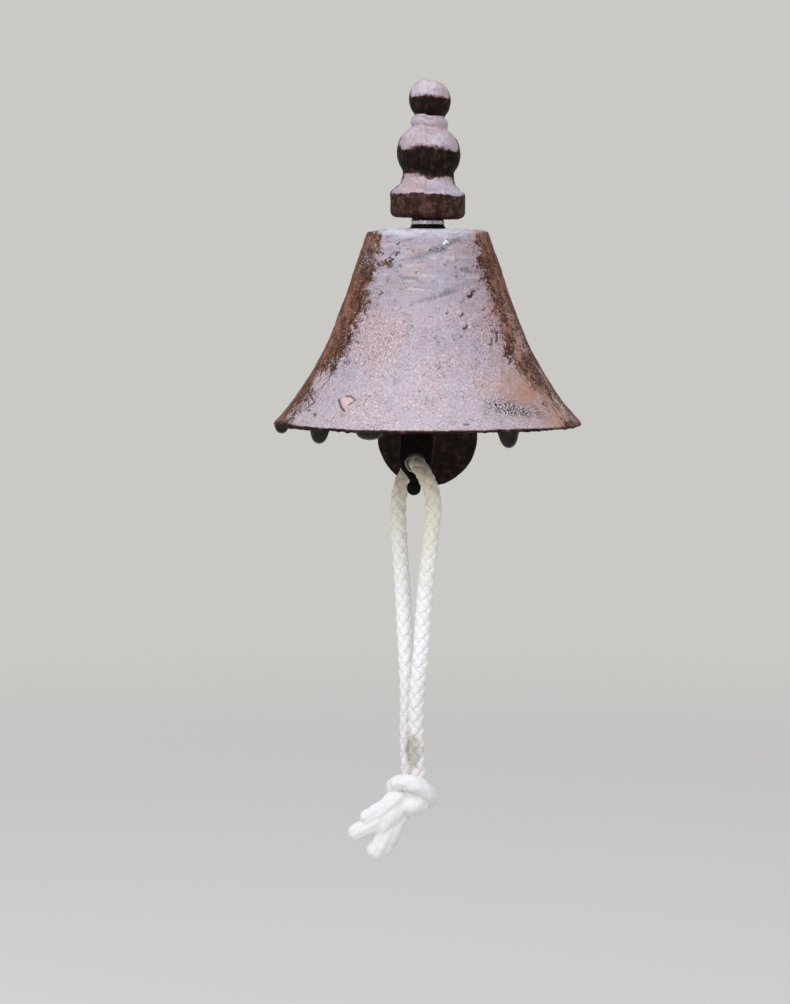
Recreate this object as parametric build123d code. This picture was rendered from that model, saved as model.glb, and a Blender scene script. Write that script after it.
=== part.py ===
from build123d import *
import math
import os

# Wall bell rung as a doorbell: a cast bell clamped under the end boss of a cast wall bracket,
# with a clapper hung from an eye bolt by one link, and a loop of cotton cord through the clapper's tail.
# Millimetres. The origin is on the wall, midway between the two wall screws. +Y goes into the wall,
# -Y comes out of it, +Z is up and +X is to the right for someone who faces the bell.
# What hangs from the boss is drawn round the bell's axis, with heights measured up from the rim plane.

# Wall plate and its two screw holes, one above the other
PLATE_WIDTH = 39.0
PLATE_HEIGHT = 98.0
PLATE_THICKNESS = 6.0
PLATE_EDGE_ROUND = 1.6
SCREW_SPACING = 44.0
SCREW_HOLE_RADIUS = 2.5
SCREW_HEAD_RADIUS = 4.7
PLATE_BOTTOM = -SCREW_SPACING / 2 - PLATE_WIDTH / 2
PLATE_TOP = PLATE_BOTTOM + PLATE_HEIGHT

# Where the bell hangs
BELL_REACH = 80.0
RIM_HEIGHT = -13.5

# Arm from the plate to the end boss
ARM_WIDTH = 12.0
ARM_EDGE_ROUND = 2.0
ARM_ROOT_TOP = 53.0
ARM_ROOT_BOTTOM = 32.0
ARM_TIP_BACK = 10.0
ARM_TIP_TOP_INSET = 0.8
ARM_TIP_BOTTOM_INSET = 1.0
ARM_ROOT_DEPTH = 1.0

# End boss and finial, heights above the rim plane
BOSS_RADIUS = 13.4
BOSS_BOTTOM = 74.3
BOSS_TOP = 83.9
BOSS_LOWER_ROUND = 2.2
BOSS_TOP_CHAMFER = 0.9
SPIGOT_RADIUS = 5.3
SPIGOT_TOP_RADIUS = 5.8
COVE_TOP_RADIUS = 9.2
COVE_TOP = 89.2
BULB_BOTTOM = 90.9
BULB_RADIUS = 11.4
BULB_MIDDLE = 97.8
WAIST_RADIUS = 6.1
WAIST_HEIGHT = 106.2
COLLAR_RADIUS = 6.8
COLLAR_TOP = 110.2
BALL_RADIUS = 7.55
BALL_MIDDLE = 116.2
FINIAL_LEAN = 1.3
LEAN_CORE_RADIUS = 11.2
LEAN_CORE_HEIGHT = 3.0

# Bell, heights above the rim plane
RIM_RADIUS = 55.2
CROWN_HEIGHT = 70.0
CROWN_THICKNESS = 4.5
CROWN_ROUND = [(19.6, CROWN_HEIGHT), (21.11, 69.51), (22.06, 68.24)]
SHOULDER_FOOT = (30.1, 44.7)
OUTER_FLARE = [SHOULDER_FOOT, (35.7, 30.6), (41.5, 19.5), (48.3, 9.2), (54.8, 1.4)]
RIM_EDGE = [(55.2, 0.6), (54.6, 0.0), (51.6, 0.0)]
INNER_FLARE = [(50.9, 1.0), (45.3, 7.0), (38.1, 17.5), (32.0, 29.1), (26.2, 43.4)]
INNER_SHOULDER = [(20.0, 62.0), (16.6, CROWN_HEIGHT - CROWN_THICKNESS)]
SHOULDER_SLOPE = 24.3 / 8.3
BELL_HOLE_RADIUS = 3.3
CROWN_BOSS_RADIUS = 6.9
CROWN_BOSS_TOP_RADIUS = 5.8
CROWN_BOSS_HEIGHT = 1.8

# Hardened drips of lacquer on the rim: angle round the bell from the right, half width, length
RIM_DRIPS = [(194.8, 2.1, 2.3), (225.3, 3.4, 4.5), (248.6, 4.6, 2.6), (301.2, 3.5, 5.5)]
DRIP_RING_RADIUS = 53.3
DRIP_RISE = 0.6
DRIP_FLATNESS = 0.8
DRIP_TOP = 0.8

# Threaded hardware, M6
THREAD_RADIUS = 3.0
WASHER_RADIUS = 6.0
WASHER_THICKNESS = 1.6
WASHER_CHAMFER = 0.25
WASHER_PLAY = 0.2
THREAD_PLAY = 0.05
NUT_ACROSS_FLATS = 10.0
NUT_THICKNESS = 5.0
NUT_CORNER_CUT = 0.45
BOLT_TOP = 93.0
TAPPED_HOLE_TOP = 96.0
BOLT_TAIL = 1.4
BOLT_END_CHAMFER = 0.5

# Eye, link and clapper, hung a little left of the bell's axis
HANGER_X = -3.1
EYE_WIRE_RADIUS = 2.4
EYE_RING_RADIUS = 4.8
EYE_MIDDLE = 50.8
LINK_WIRE_RADIUS = 1.6
LINK_BEND_RADIUS = 4.4
LINK_STRAIGHT = 3.6
LINK_PIVOT = EYE_MIDDLE - EYE_RING_RADIUS
CLAPPER_PIVOT = LINK_PIVOT - LINK_STRAIGHT - LINK_BEND_RADIUS
CLAPPER_EYE_HOLE = 2.0
CLAPPER_X = -2.95
CLAPPER_BALL_RADIUS = 12.5
CLAPPER_BALL_MIDDLE = 15.5
STEM_TOP_RADIUS = 3.0
STEM_FOOT_RADIUS = 4.2
STEM_LAP = 1.5
TAIL_TOP = 8.0
TAIL_HALF_WIDTH = 6.0
TAIL_THICKNESS = 7.0
TAIL_EDGE_ROUND = 1.7
TAIL_SHOULDER = -12.9
TAIL_NECK = -19.8
TAIL_NECK_HALF_WIDTH = 1.9
TAIL_NECK_BAR_RADIUS = 1.7
TAIL_NECK_LAP = 1.2
TAIL_TIP_RADIUS = 2.6
TAIL_TIP_MIDDLE = -22.9
TAIL_LEAN = 3.67
CORD_HOLE_RADIUS = 3.9
CORD_HOLE_HEIGHT = -13.6

# Pull cord: a loop of 6 mm cotton cord whose two ends meet in one knot.
# Its route is given as x, distance behind the bell's axis, height above the rim plane.
CORD_RADIUS = 3.05
BEND_SHARE_OF_RUN = 0.45
CORD_ROUTE = [
    (-6.3, 2.9, -128.0),
    (-7.3, 3.0, -113.0),
    (-6.9, 3.1, -98.5),
    (-7.9, 4.3, -80.5),
    (-9.0, 6.0, -60.0),
    (-10.4, 7.8, -40.0),
    (-10.9, 9.3, -25.0),
    (-5.5, 9.0, -13.6),
    (-2.9, -9.0, -13.6),
    (2.6, -9.3, -24.5),
    (1.6, -8.0, -38.0),
    (-1.0, -6.0, -60.0),
    (-2.1, -4.4, -81.0),
    (-4.0, -3.1, -98.5),
    (-3.9, -3.0, -113.0),
    (-3.2, -2.8, -128.0),
]
KNOT_MIDDLE = (-5.9, 0.0, -134.4)
KNOT_HALF_WIDTH = 8.6
KNOT_RADIUS = 7.6
KNOT_TAILS = [
    ((-10.5, -1.2, -137.6), (-24.4, -1.6, -147.0), 3.1),
    ((-9.3, 1.4, -139.2), (-17.8, 1.8, -154.0), 3.2),
]

hung = Pos(0, -BELL_REACH, RIM_HEIGHT)


def rod_between(start, end, radius):
    """Round rod with domed ends from one point to another."""
    start = Vector(*start)
    end = Vector(*end)
    run = end - start
    bar = Solid.make_cylinder(radius, run.length, Plane(origin=start, z_dir=run))
    return bar + Pos(*start) * Sphere(radius) + Pos(*end) * Sphere(radius)


def turned(outline):
    """Solid of revolution about the vertical axis from a closed outline of edges in the XZ plane."""
    return revolve(make_face(outline), Axis.Z)


def in_section(points):
    """Points of a turned section, given as radius and height."""
    return [(radius, 0, height) for radius, height in points]


def upright_egg(radius, half_height):
    """Ellipsoid with a round plan and the given half height."""
    right_side = Pos(radius, 0) * Rectangle(2 * radius, 4 * half_height)
    half_ellipse = Ellipse(radius, half_height) & right_side
    return revolve(Plane.XZ * half_ellipse, Axis.Z)


# Wall bracket: plate, arm, end boss and finial are one casting
def screw_hole():
    """Countersunk hole for a wall screw, sunk from the front of the plate."""
    bore = Cylinder(SCREW_HOLE_RADIUS, PLATE_THICKNESS + 2)
    shaft = Pos(0, -PLATE_THICKNESS / 2, 0) * Rot(90, 0, 0) * bore
    sink_depth = SCREW_HEAD_RADIUS - SCREW_HOLE_RADIUS
    sink_middle = -PLATE_THICKNESS + sink_depth / 2
    head_seat = Cone(SCREW_HOLE_RADIUS, SCREW_HEAD_RADIUS, sink_depth)
    sink = Pos(0, sink_middle, 0) * Rot(90, 0, 0) * head_seat
    return shaft + sink


def wall_plate():
    """Plate with full round ends, its front edge rounded off."""
    face = Plane.XZ * SlotOverall(PLATE_HEIGHT, PLATE_WIDTH, rotation=90)
    plate = Pos(0, 0, (PLATE_BOTTOM + PLATE_TOP) / 2) * extrude(face, PLATE_THICKNESS)
    front = plate.faces().sort_by(Axis.Y)[0]
    plate = fillet(front.edges(), PLATE_EDGE_ROUND)
    for height in (-SCREW_SPACING / 2, SCREW_SPACING / 2):
        plate -= Pos(0, 0, height) * screw_hole()
    return plate


def bracket_arm():
    """Arm that sweeps up and forward from the top of the plate, thinner towards the boss."""
    tip_y = -BELL_REACH + ARM_TIP_BACK
    root_y = -PLATE_THICKNESS + ARM_ROOT_DEPTH
    root_top = (0, root_y, ARM_ROOT_TOP)
    root_bottom = (0, root_y, ARM_ROOT_BOTTOM)
    tip_top = (0, tip_y, RIM_HEIGHT + BOSS_TOP - ARM_TIP_TOP_INSET)
    tip_bottom = (0, tip_y, RIM_HEIGHT + BOSS_BOTTOM + ARM_TIP_BOTTOM_INSET)
    upper = Spline(root_top, tip_top, tangents=[(0, -1, 0.75), (0, -1, 0)])
    lower = Spline(tip_bottom, root_bottom, tangents=[(0, 1, 0), (0, 0, -1)])
    outline = upper + Line(tip_top, tip_bottom) + lower + Line(root_bottom, root_top)
    arm = Pos(-ARM_WIDTH / 2, 0, 0) * extrude(make_face(outline), ARM_WIDTH, dir=(1, 0, 0))
    return fillet(arm.edges().filter_by(GeomType.BSPLINE), ARM_EDGE_ROUND)


def boss_and_finial():
    """Turned end boss with its finial: cove, bulb, collar and ball."""
    ball_foot = math.sqrt(BALL_RADIUS ** 2 - (BALL_MIDDLE - COLLAR_TOP) ** 2)
    round_start = (BOSS_RADIUS - BOSS_LOWER_ROUND, BOSS_BOTTOM)
    round_end = (BOSS_RADIUS, BOSS_BOTTOM + BOSS_LOWER_ROUND)
    round_middle = (
        BOSS_RADIUS - BOSS_LOWER_ROUND * (1 - math.sqrt(0.5)),
        BOSS_BOTTOM + BOSS_LOWER_ROUND * (1 - math.sqrt(0.5)),
    )
    spigot_bottom = CROWN_HEIGHT + CROWN_BOSS_HEIGHT + WASHER_THICKNESS
    base = in_section([
        (0, spigot_bottom),
        (SPIGOT_RADIUS, spigot_bottom),
        (SPIGOT_TOP_RADIUS, BOSS_BOTTOM),
        round_start,
    ])
    outline = Polyline(*base)
    outline += ThreePointArc(*in_section([round_start, round_middle, round_end]))
    cove_foot = (BOSS_RADIUS - BOSS_TOP_CHAMFER, BOSS_TOP)
    outline += Polyline(*in_section([round_end, (BOSS_RADIUS, BOSS_TOP - BOSS_TOP_CHAMFER), cove_foot]))
    outline += Spline(
        *in_section([cove_foot, (COVE_TOP_RADIUS, COVE_TOP)]),
        tangents=[(-1, 0, 0.3), (-0.1, 0, 1)],
    )
    outline += Polyline(*in_section([(COVE_TOP_RADIUS, COVE_TOP), (COVE_TOP_RADIUS, BULB_BOTTOM)]))
    outline += Spline(
        *in_section([
            (COVE_TOP_RADIUS, BULB_BOTTOM),
            (BULB_RADIUS, BULB_MIDDLE),
            (WAIST_RADIUS, WAIST_HEIGHT),
        ]),
        tangents=[(0.75, 0, 1), (-1, 0, 0.55)],
    )
    collar_middle = (WAIST_HEIGHT + COLLAR_TOP) / 2
    outline += ThreePointArc(*in_section([
        (WAIST_RADIUS, WAIST_HEIGHT),
        (COLLAR_RADIUS, collar_middle),
        (ball_foot, COLLAR_TOP),
    ]))
    outline += ThreePointArc(*in_section([
        (ball_foot, COLLAR_TOP),
        (BALL_RADIUS, BALL_MIDDLE),
        (0, BALL_MIDDLE + BALL_RADIUS),
    ]))
    outline += Line((0, 0, BALL_MIDDLE + BALL_RADIUS), (0, 0, spigot_bottom))
    tapped_hole = Pos(0, 0, TAPPED_HOLE_TOP / 2) * Cylinder(THREAD_RADIUS + THREAD_PLAY, TAPPED_HOLE_TOP)
    finial = turned(outline)
    half_height = BALL_MIDDLE
    half_space = Box(4 * BOSS_RADIUS, 4 * BOSS_RADIUS, 2 * half_height)
    upper = finial & (Pos(0, 0, BOSS_TOP + half_height) * half_space)
    lower = finial & (Pos(0, 0, BOSS_TOP - half_height) * half_space)
    leaning = Pos(0, 0, BOSS_TOP) * Rot(0, FINIAL_LEAN, 0) * Pos(0, 0, -BOSS_TOP) * upper
    core = Pos(0, 0, BOSS_TOP) * Cylinder(LEAN_CORE_RADIUS, LEAN_CORE_HEIGHT)
    return lower + leaning + core - tapped_hole


def wall_bracket():
    return wall_plate() + bracket_arm() + hung * boss_and_finial()


# Bell
def bell_section():
    """Half section of the bell: straight shoulders that flare out to a thin rim."""
    inner_crown = (BELL_HOLE_RADIUS, CROWN_HEIGHT - CROWN_THICKNESS)
    boss_top = CROWN_HEIGHT + CROWN_BOSS_HEIGHT
    outline = Polyline(*in_section([
        inner_crown,
        (BELL_HOLE_RADIUS, boss_top),
        (CROWN_BOSS_TOP_RADIUS, boss_top),
        (CROWN_BOSS_RADIUS, CROWN_HEIGHT),
        CROWN_ROUND[0],
    ]))
    outline += ThreePointArc(*in_section(CROWN_ROUND))
    outline += Line(*in_section([CROWN_ROUND[-1], SHOULDER_FOOT]))
    outline += Spline(*in_section(OUTER_FLARE), tangents=[(1, 0, -SHOULDER_SLOPE), (0.75, 0, -0.66)])
    outline += Polyline(*in_section([OUTER_FLARE[-1], *RIM_EDGE, INNER_FLARE[0]]))
    outline += Spline(*in_section(INNER_FLARE), tangents=[(-0.8, 0, 0.6), (-1, 0, SHOULDER_SLOPE)])
    outline += Polyline(*in_section([INNER_FLARE[-1], *INNER_SHOULDER, inner_crown]))
    return outline


def rim_drip(angle, half_width, length):
    """Hardened drip that hangs from the rim, a drop shape with its upper half in the casting."""
    drop = scale(Sphere(1.0), by=(half_width * DRIP_FLATNESS, half_width, length + DRIP_RISE))
    hanging = Rot(0, 0, angle) * Pos(DRIP_RING_RADIUS, 0, DRIP_RISE) * drop
    lower_side = Box(3 * RIM_RADIUS, 3 * RIM_RADIUS, 2 * RIM_RADIUS)
    return hanging & (Pos(0, 0, DRIP_TOP - RIM_RADIUS) * lower_side)


def bell():
    casting = turned(bell_section())
    for angle, half_width, length in RIM_DRIPS:
        casting += rim_drip(angle, half_width, length)
    return hung * casting


# Threaded hardware that clamps the bell to the boss
def washer(bottom):
    disc = Pos(0, 0, bottom + WASHER_THICKNESS / 2) * Cylinder(WASHER_RADIUS, WASHER_THICKNESS)
    disc = chamfer(disc.edges(), WASHER_CHAMFER)
    bore = Pos(0, 0, bottom) * Cylinder(THREAD_RADIUS + WASHER_PLAY, 4 * WASHER_THICKNESS)
    return hung * (disc - bore)


def hex_nut(top):
    """Hexagon nut whose corners are turned off at 30 degrees."""
    flats = RegularPolygon(NUT_ACROSS_FLATS / 2, 6, major_radius=False)
    block = Pos(0, 0, top - NUT_THICKNESS) * extrude(flats, NUT_THICKNESS)
    corner_radius = NUT_ACROSS_FLATS / 2 / math.cos(math.pi / 6)
    blank = Pos(0, 0, top - NUT_THICKNESS / 2) * Cylinder(corner_radius, NUT_THICKNESS)
    blank = chamfer(blank.edges(), NUT_CORNER_CUT, NUT_CORNER_CUT / math.tan(math.radians(30)))
    bore = Pos(0, 0, top) * Cylinder(THREAD_RADIUS + THREAD_PLAY, 3 * NUT_THICKNESS)
    return hung * ((block & blank) - bore)


def eye_bolt(nut_bottom):
    """Threaded rod whose lower end is bent into an eye beside its own line."""
    shank_bottom = nut_bottom - BOLT_TAIL
    shank = Pos(0, 0, (BOLT_TOP + shank_bottom) / 2) * Cylinder(THREAD_RADIUS, BOLT_TOP - shank_bottom)
    shank = chamfer(shank.edges(), BOLT_END_CHAMFER)
    ring_top = EYE_MIDDLE + EYE_RING_RADIUS
    crank = rod_between((0, 0, shank_bottom), (HANGER_X, 0, ring_top), EYE_WIRE_RADIUS)
    eye = Pos(HANGER_X, 0, EYE_MIDDLE) * Rot(0, 90, 0) * Torus(EYE_RING_RADIUS, EYE_WIRE_RADIUS)
    return hung * (shank + crank + eye)


# Link between the bolt's eye and the clapper's eye
def hanging_link():
    middle = LINK_PIVOT - LINK_STRAIGHT / 2
    slot = Plane.XZ * SlotCenterToCenter(LINK_STRAIGHT, 2 * LINK_BEND_RADIUS, rotation=90)
    path = slot.face().outer_wire()
    start = path @ 0
    section = Plane(origin=start, z_dir=path % 0) * Circle(LINK_WIRE_RADIUS)
    return hung * Pos(HANGER_X, 0, middle) * sweep(section, path=path)


# Clapper
def clapper_tail():
    """Flat tail with a round hole for the cord and a small knob at its end."""
    half = TAIL_HALF_WIDTH
    neck = TAIL_NECK_HALF_WIDTH
    right_side = [(half, 0, TAIL_TOP), (half, 0, TAIL_SHOULDER)]
    slope = Spline(right_side[1], (neck, 0, TAIL_NECK), tangents=[(0, 0, -1), (-0.5, 0, -1)])
    outline = Line(*right_side) + slope + Line((neck, 0, TAIL_NECK), (-neck, 0, TAIL_NECK))
    outline += mirror(slope, Plane.YZ)
    outline += Polyline((-half, 0, TAIL_SHOULDER), (-half, 0, TAIL_TOP), (half, 0, TAIL_TOP))
    tab = Pos(0, -TAIL_THICKNESS / 2, 0) * extrude(make_face(outline), TAIL_THICKNESS, dir=(0, 1, 0))
    long_edges = tab.edges().filter_by(Axis.Z) + tab.edges().filter_by(GeomType.BSPLINE)
    tab = fillet(long_edges, TAIL_EDGE_ROUND)
    hole = Pos(0, 0, CORD_HOLE_HEIGHT) * Rot(90, 0, 0) * Cylinder(CORD_HOLE_RADIUS, 3 * TAIL_THICKNESS)
    tab -= hole
    knob = Pos(0, 0, TAIL_TIP_MIDDLE) * Sphere(TAIL_TIP_RADIUS)
    neck_height = TAIL_NECK + TAIL_NECK_LAP - TAIL_TIP_MIDDLE
    neck_bar = Pos(0, 0, TAIL_TIP_MIDDLE + neck_height / 2) * Cylinder(TAIL_NECK_BAR_RADIUS, neck_height)
    return tab + knob + neck_bar


def clapper():
    eye_wire = LINK_WIRE_RADIUS
    ring_radius = CLAPPER_EYE_HOLE + eye_wire
    eye = Pos(HANGER_X, 0, CLAPPER_PIVOT) * Rot(0, 90, 0) * Torus(ring_radius, eye_wire)
    stem_top = CLAPPER_PIVOT - ring_radius
    stem_foot = CLAPPER_BALL_MIDDLE + CLAPPER_BALL_RADIUS - STEM_LAP
    stem_height = stem_top - stem_foot
    stem_middle = stem_foot + stem_height / 2
    stem = Pos(CLAPPER_X, 0, stem_middle) * Cone(STEM_FOOT_RADIUS, STEM_TOP_RADIUS, stem_height)
    ball = Pos(CLAPPER_X, 0, CLAPPER_BALL_MIDDLE) * Sphere(CLAPPER_BALL_RADIUS)
    tail = Pos(CLAPPER_X, 0, TAIL_TOP) * Rot(0, TAIL_LEAN, 0) * Pos(0, 0, -TAIL_TOP) * clapper_tail()
    return hung * (eye + stem + ball + tail)


# Pull cord and its knot
def cord_radii(points):
    """Bend radius at each corner of the route, as large as its two runs allow."""
    radii = []
    for before, corner, after in zip(points, points[1:], points[2:]):
        shorter = min((corner - before).length, (after - corner).length)
        half_turn = math.radians((corner - before).get_angle(after - corner)) / 2
        radii.append(BEND_SHARE_OF_RUN * shorter / math.tan(half_turn))
    return radii


def pull_cord():
    points = [Vector(*point) for point in CORD_ROUTE]
    radii = cord_radii(points)
    route = FilletPolyline(*points, radius=radii)
    section = Plane(origin=route @ 0, z_dir=route % 0) * Circle(CORD_RADIUS)
    tube = sweep(section, path=route)
    expected = math.pi * CORD_RADIUS ** 2 * route.length
    print("cord radii", [round(radius, 1) for radius in radii])
    print("cord length", round(route.length, 1), "volume ratio", round(tube.volume / expected, 4))
    return hung * tube


def cord_knot():
    knot = Pos(*KNOT_MIDDLE) * Rot(0, 90, 0) * upright_egg(KNOT_RADIUS, KNOT_HALF_WIDTH)
    for start, end, radius in KNOT_TAILS:
        knot += rod_between(start, end, radius)
    return hung * knot


nut_top = CROWN_HEIGHT - CROWN_THICKNESS - WASHER_THICKNESS
parts = {
    "wall_bracket": wall_bracket(),
    "bell": bell(),
    "crown_washer": washer(CROWN_HEIGHT + CROWN_BOSS_HEIGHT),
    "inner_washer": washer(nut_top),
    "hex_nut": hex_nut(nut_top),
    "eye_bolt": eye_bolt(nut_top - NUT_THICKNESS),
    "hanging_link": hanging_link(),
    "clapper": clapper(),
    "pull_cord": pull_cord(),
    "cord_knot": cord_knot(),
}

os.makedirs("parts", exist_ok=True)
for name, shape in parts.items():
    export_step(shape, f"parts/{name}.step")
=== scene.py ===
import math

import bpy
import numpy as np
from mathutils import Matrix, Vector, noise


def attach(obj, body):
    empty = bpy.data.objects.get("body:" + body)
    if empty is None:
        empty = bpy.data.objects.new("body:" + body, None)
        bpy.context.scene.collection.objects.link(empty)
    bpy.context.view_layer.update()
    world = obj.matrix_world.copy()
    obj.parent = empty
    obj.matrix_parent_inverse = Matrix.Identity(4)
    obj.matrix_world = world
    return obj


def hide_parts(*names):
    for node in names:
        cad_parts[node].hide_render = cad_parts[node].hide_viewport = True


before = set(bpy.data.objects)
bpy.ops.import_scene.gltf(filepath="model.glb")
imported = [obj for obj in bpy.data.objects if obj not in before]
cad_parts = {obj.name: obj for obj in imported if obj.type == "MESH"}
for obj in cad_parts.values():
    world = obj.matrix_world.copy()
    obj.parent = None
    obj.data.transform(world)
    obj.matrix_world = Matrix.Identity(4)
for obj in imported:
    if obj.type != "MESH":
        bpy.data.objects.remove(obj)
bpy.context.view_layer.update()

# Places in metres. Points on the bell and the cord are written in millimetres from the bell's axis and
# its rim plane, and turned into the shared frame by in_frame().
AXIS_Y = -0.080
RIM_Z = -0.0135
MM = 0.001
TINY = 1e-6


def in_frame(x, behind, height):
    """Point in the shared frame from millimetres right of, behind and above the bell's mouth."""
    return Vector((x * MM, AXIS_Y + behind * MM, RIM_Z + height * MM))


def new_object(name, data):
    thing = bpy.data.objects.new(name, data)
    bpy.context.scene.collection.objects.link(thing)
    return thing


# Nodes
def empty_tree(data):
    """Node tree of a world or a material, with nothing in it."""
    data.use_nodes = True
    data.node_tree.nodes.clear()
    return data.node_tree


def feed(tree, node, inputs):
    """Give a node's inputs their values, or links from sockets."""
    for name, value in inputs.items():
        if isinstance(value, bpy.types.NodeSocket):
            tree.links.new(value, node.inputs[name])
        else:
            node.inputs[name].default_value = value


def add_node(tree, kind, inputs=None, **settings):
    """Node with its settings, and inputs given as values or as sockets to link from."""
    node = tree.nodes.new(kind)
    for name, value in settings.items():
        setattr(node, name, value)
    feed(tree, node, inputs or {})
    return node


def calc(tree, operation, *terms):
    """Result of one sum on numbers or sockets."""
    return add_node(tree, "ShaderNodeMath", dict(enumerate(terms)), operation=operation).outputs[0]


def plus(tree, first, second):
    return calc(tree, "ADD", first, second)


def times(tree, first, second):
    return calc(tree, "MULTIPLY", first, second)


def centred(tree, value, middle, reach):
    """How far a pattern lies above its middle, times the reach."""
    return times(tree, calc(tree, "SUBTRACT", value, middle), reach)


def stretch(tree, value, low, high, to_low=0.0, to_high=1.0, smooth=True):
    """The value's range from low to high turned into another one, eased at both ends if smooth."""
    kind = "SMOOTHSTEP" if smooth else "LINEAR"
    node = add_node(tree, "ShaderNodeMapRange", {
        "Value": value, "From Min": low, "From Max": high, "To Min": to_low, "To Max": to_high,
    }, interpolation_type=kind)
    return node.outputs[0]


def length_of(tree, vector):
    return add_node(tree, "ShaderNodeVectorMath", {0: vector}, operation="LENGTH").outputs["Value"]


def noise_of(tree, place, scale, detail=3.0, roughness=0.55, distortion=0.0):
    node = add_node(tree, "ShaderNodeTexNoise", {
        "Vector": place, "Scale": scale, "Detail": detail, "Roughness": roughness, "Distortion": distortion,
    })
    return node.outputs["Fac"]


def mix_colour(tree, factor, first, second):
    """Second colour over the first by the factor's share. A colour is a socket, or red, green and blue."""
    node = add_node(tree, "ShaderNodeMix", data_type="RGBA")
    sockets = {s.identifier: s for s in node.inputs}
    tree.links.new(factor, sockets["Factor_Float"])
    for key, value in (("A_Color", first), ("B_Color", second)):
        if isinstance(value, bpy.types.NodeSocket):
            tree.links.new(value, sockets[key])
        else:
            sockets[key].default_value = (*value, 1)
    return next(s for s in node.outputs if s.identifier == "Result_Color")


def layered(tree, colour, layers):
    """The colour with each layer's own colour mixed over it in turn."""
    for factor, over in layers:
        colour = mix_colour(tree, factor, colour, over)
    return colour


def bumped(tree, bumps):
    """Normal over a chain of bumps, each a height, its strength and its distance in metres."""
    normal = None
    for height, strength, distance in bumps:
        inputs = {"Height": height, "Strength": strength, "Distance": distance}
        if normal:
            inputs["Normal"] = normal
        normal = add_node(tree, "ShaderNodeBump", inputs).outputs[0]
    return normal


# Camera, floor and light
PHOTO_HEIGHT = 1004
SENSOR_HEIGHT = 36
CAMERA_DISTANCE = 0.85
CAMERA_HEIGHT = 0.044
NEAREST_SEEN = 0.01
AIM = (-0.0126, -0.0108)
LENS = 84.7
LENS_SHIFT = (2.5, -47.0)
PAPER = (0.60, 0.585, 0.56)
ROOM_LIGHT = (0.86, 0.9, 1.0)
ROOM_STRENGTH = 0.55
FLOOR_HEIGHT = -0.30
FLOOR_REACH = 2.6
FLOOR_FADE = (0.3, 1.5)
LAMP_TARGET = (0, AXIS_Y, 0.02)
LAMP_WHITE = (0.95, 0.96, 1.0)
# Name, place, width and height, and power in watts
LAMPS = [
    ("sky_window", (-0.35, -1.22, 1.03), (2.8, 1.5), 32.0),
    ("soft_top", (0.0, 0.2, 1.3), (1.4, 1.0), 7.0),
    ("catch_light", (-0.12, -1.0, 0.13), (0.045, 0.045), 0.5),
]


def turned_to(location, target):
    """Turn that points a camera or a lamp from its place to the target."""
    return (Vector(target) - Vector(location)).to_track_quat("-Z", "Y").to_euler()


def set_camera():
    data = bpy.data.cameras.new("photo_camera")
    data.sensor_fit = "VERTICAL"
    data.sensor_height = SENSOR_HEIGHT
    data.lens = LENS
    data.shift_x = LENS_SHIFT[0] / PHOTO_HEIGHT
    data.shift_y = LENS_SHIFT[1] / PHOTO_HEIGHT
    data.clip_start = NEAREST_SEEN
    camera = new_object("photo_camera", data)
    camera.location = (0, AXIS_Y - CAMERA_DISTANCE, RIM_Z + CAMERA_HEIGHT)
    camera.rotation_euler = turned_to(camera.location, (AIM[0], AXIS_Y, RIM_Z + AIM[1]))
    bpy.context.scene.camera = camera


def set_backdrop():
    """Even room light, with a pale backdrop for the camera and for reflections."""
    world = bpy.data.worlds.new("studio_world")
    bpy.context.scene.world = world
    tree = empty_tree(world)
    rays = add_node(tree, "ShaderNodeLightPath").outputs
    seen = calc(tree, "MAXIMUM", rays["Is Camera Ray"], rays["Is Glossy Ray"])
    seen = calc(tree, "MAXIMUM", seen, rays["Is Transmission Ray"])
    room = add_node(tree, "ShaderNodeBackground", {"Color": (*ROOM_LIGHT, 1), "Strength": ROOM_STRENGTH})
    paper = add_node(tree, "ShaderNodeBackground", {"Color": (*PAPER, 1), "Strength": 1.0})
    mix = add_node(tree, "ShaderNodeMixShader", {0: seen, 1: room.outputs[0], 2: paper.outputs[0]})
    add_node(tree, "ShaderNodeOutputWorld", {"Surface": mix.outputs[0]})


def add_floor():
    """Paper floor that keeps the object's shadow, fades into the backdrop and is clear from below."""
    mesh = bpy.data.meshes.new("floor")
    r = FLOOR_REACH
    mesh.from_pydata([(-r, -r, 0), (r, -r, 0), (r, r, 0), (-r, r, 0)], [], [(0, 1, 2, 3)])
    floor = new_object("floor", mesh)
    floor.location = (0, AXIS_Y, FLOOR_HEIGHT)
    material = bpy.data.materials.new("floor_paper")
    tree = empty_tree(material)
    away = length_of(tree, add_node(tree, "ShaderNodeTexCoord").outputs["Object"])
    under = add_node(tree, "ShaderNodeNewGeometry").outputs["Backfacing"]
    gone = calc(tree, "MAXIMUM", stretch(tree, away, *FLOOR_FADE), under)
    paper = add_node(tree, "ShaderNodeBsdfDiffuse", {"Color": (*PAPER, 1)})
    clear = add_node(tree, "ShaderNodeBsdfTransparent")
    mix = add_node(tree, "ShaderNodeMixShader", {0: gone, 1: paper.outputs[0], 2: clear.outputs[0]})
    add_node(tree, "ShaderNodeOutputMaterial", {"Surface": mix.outputs[0]})
    mesh.materials.append(material)


def light_studio():
    for name, location, size, power in LAMPS:
        data = bpy.data.lights.new(name, "AREA")
        data.shape = "RECTANGLE"
        data.size, data.size_y = size
        data.energy = power
        data.color = LAMP_WHITE
        lamp = new_object(name, data)
        lamp.location = location
        lamp.rotation_euler = turned_to(location, LAMP_TARGET)
        lamp.visible_camera = False


# Materials
def new_material(name):
    material = bpy.data.materials.new(name)
    tree = empty_tree(material)
    shader = add_node(tree, "ShaderNodeBsdfPrincipled")
    add_node(tree, "ShaderNodeOutputMaterial", {"Surface": shader.outputs[0]})
    return material, tree, shader


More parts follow.
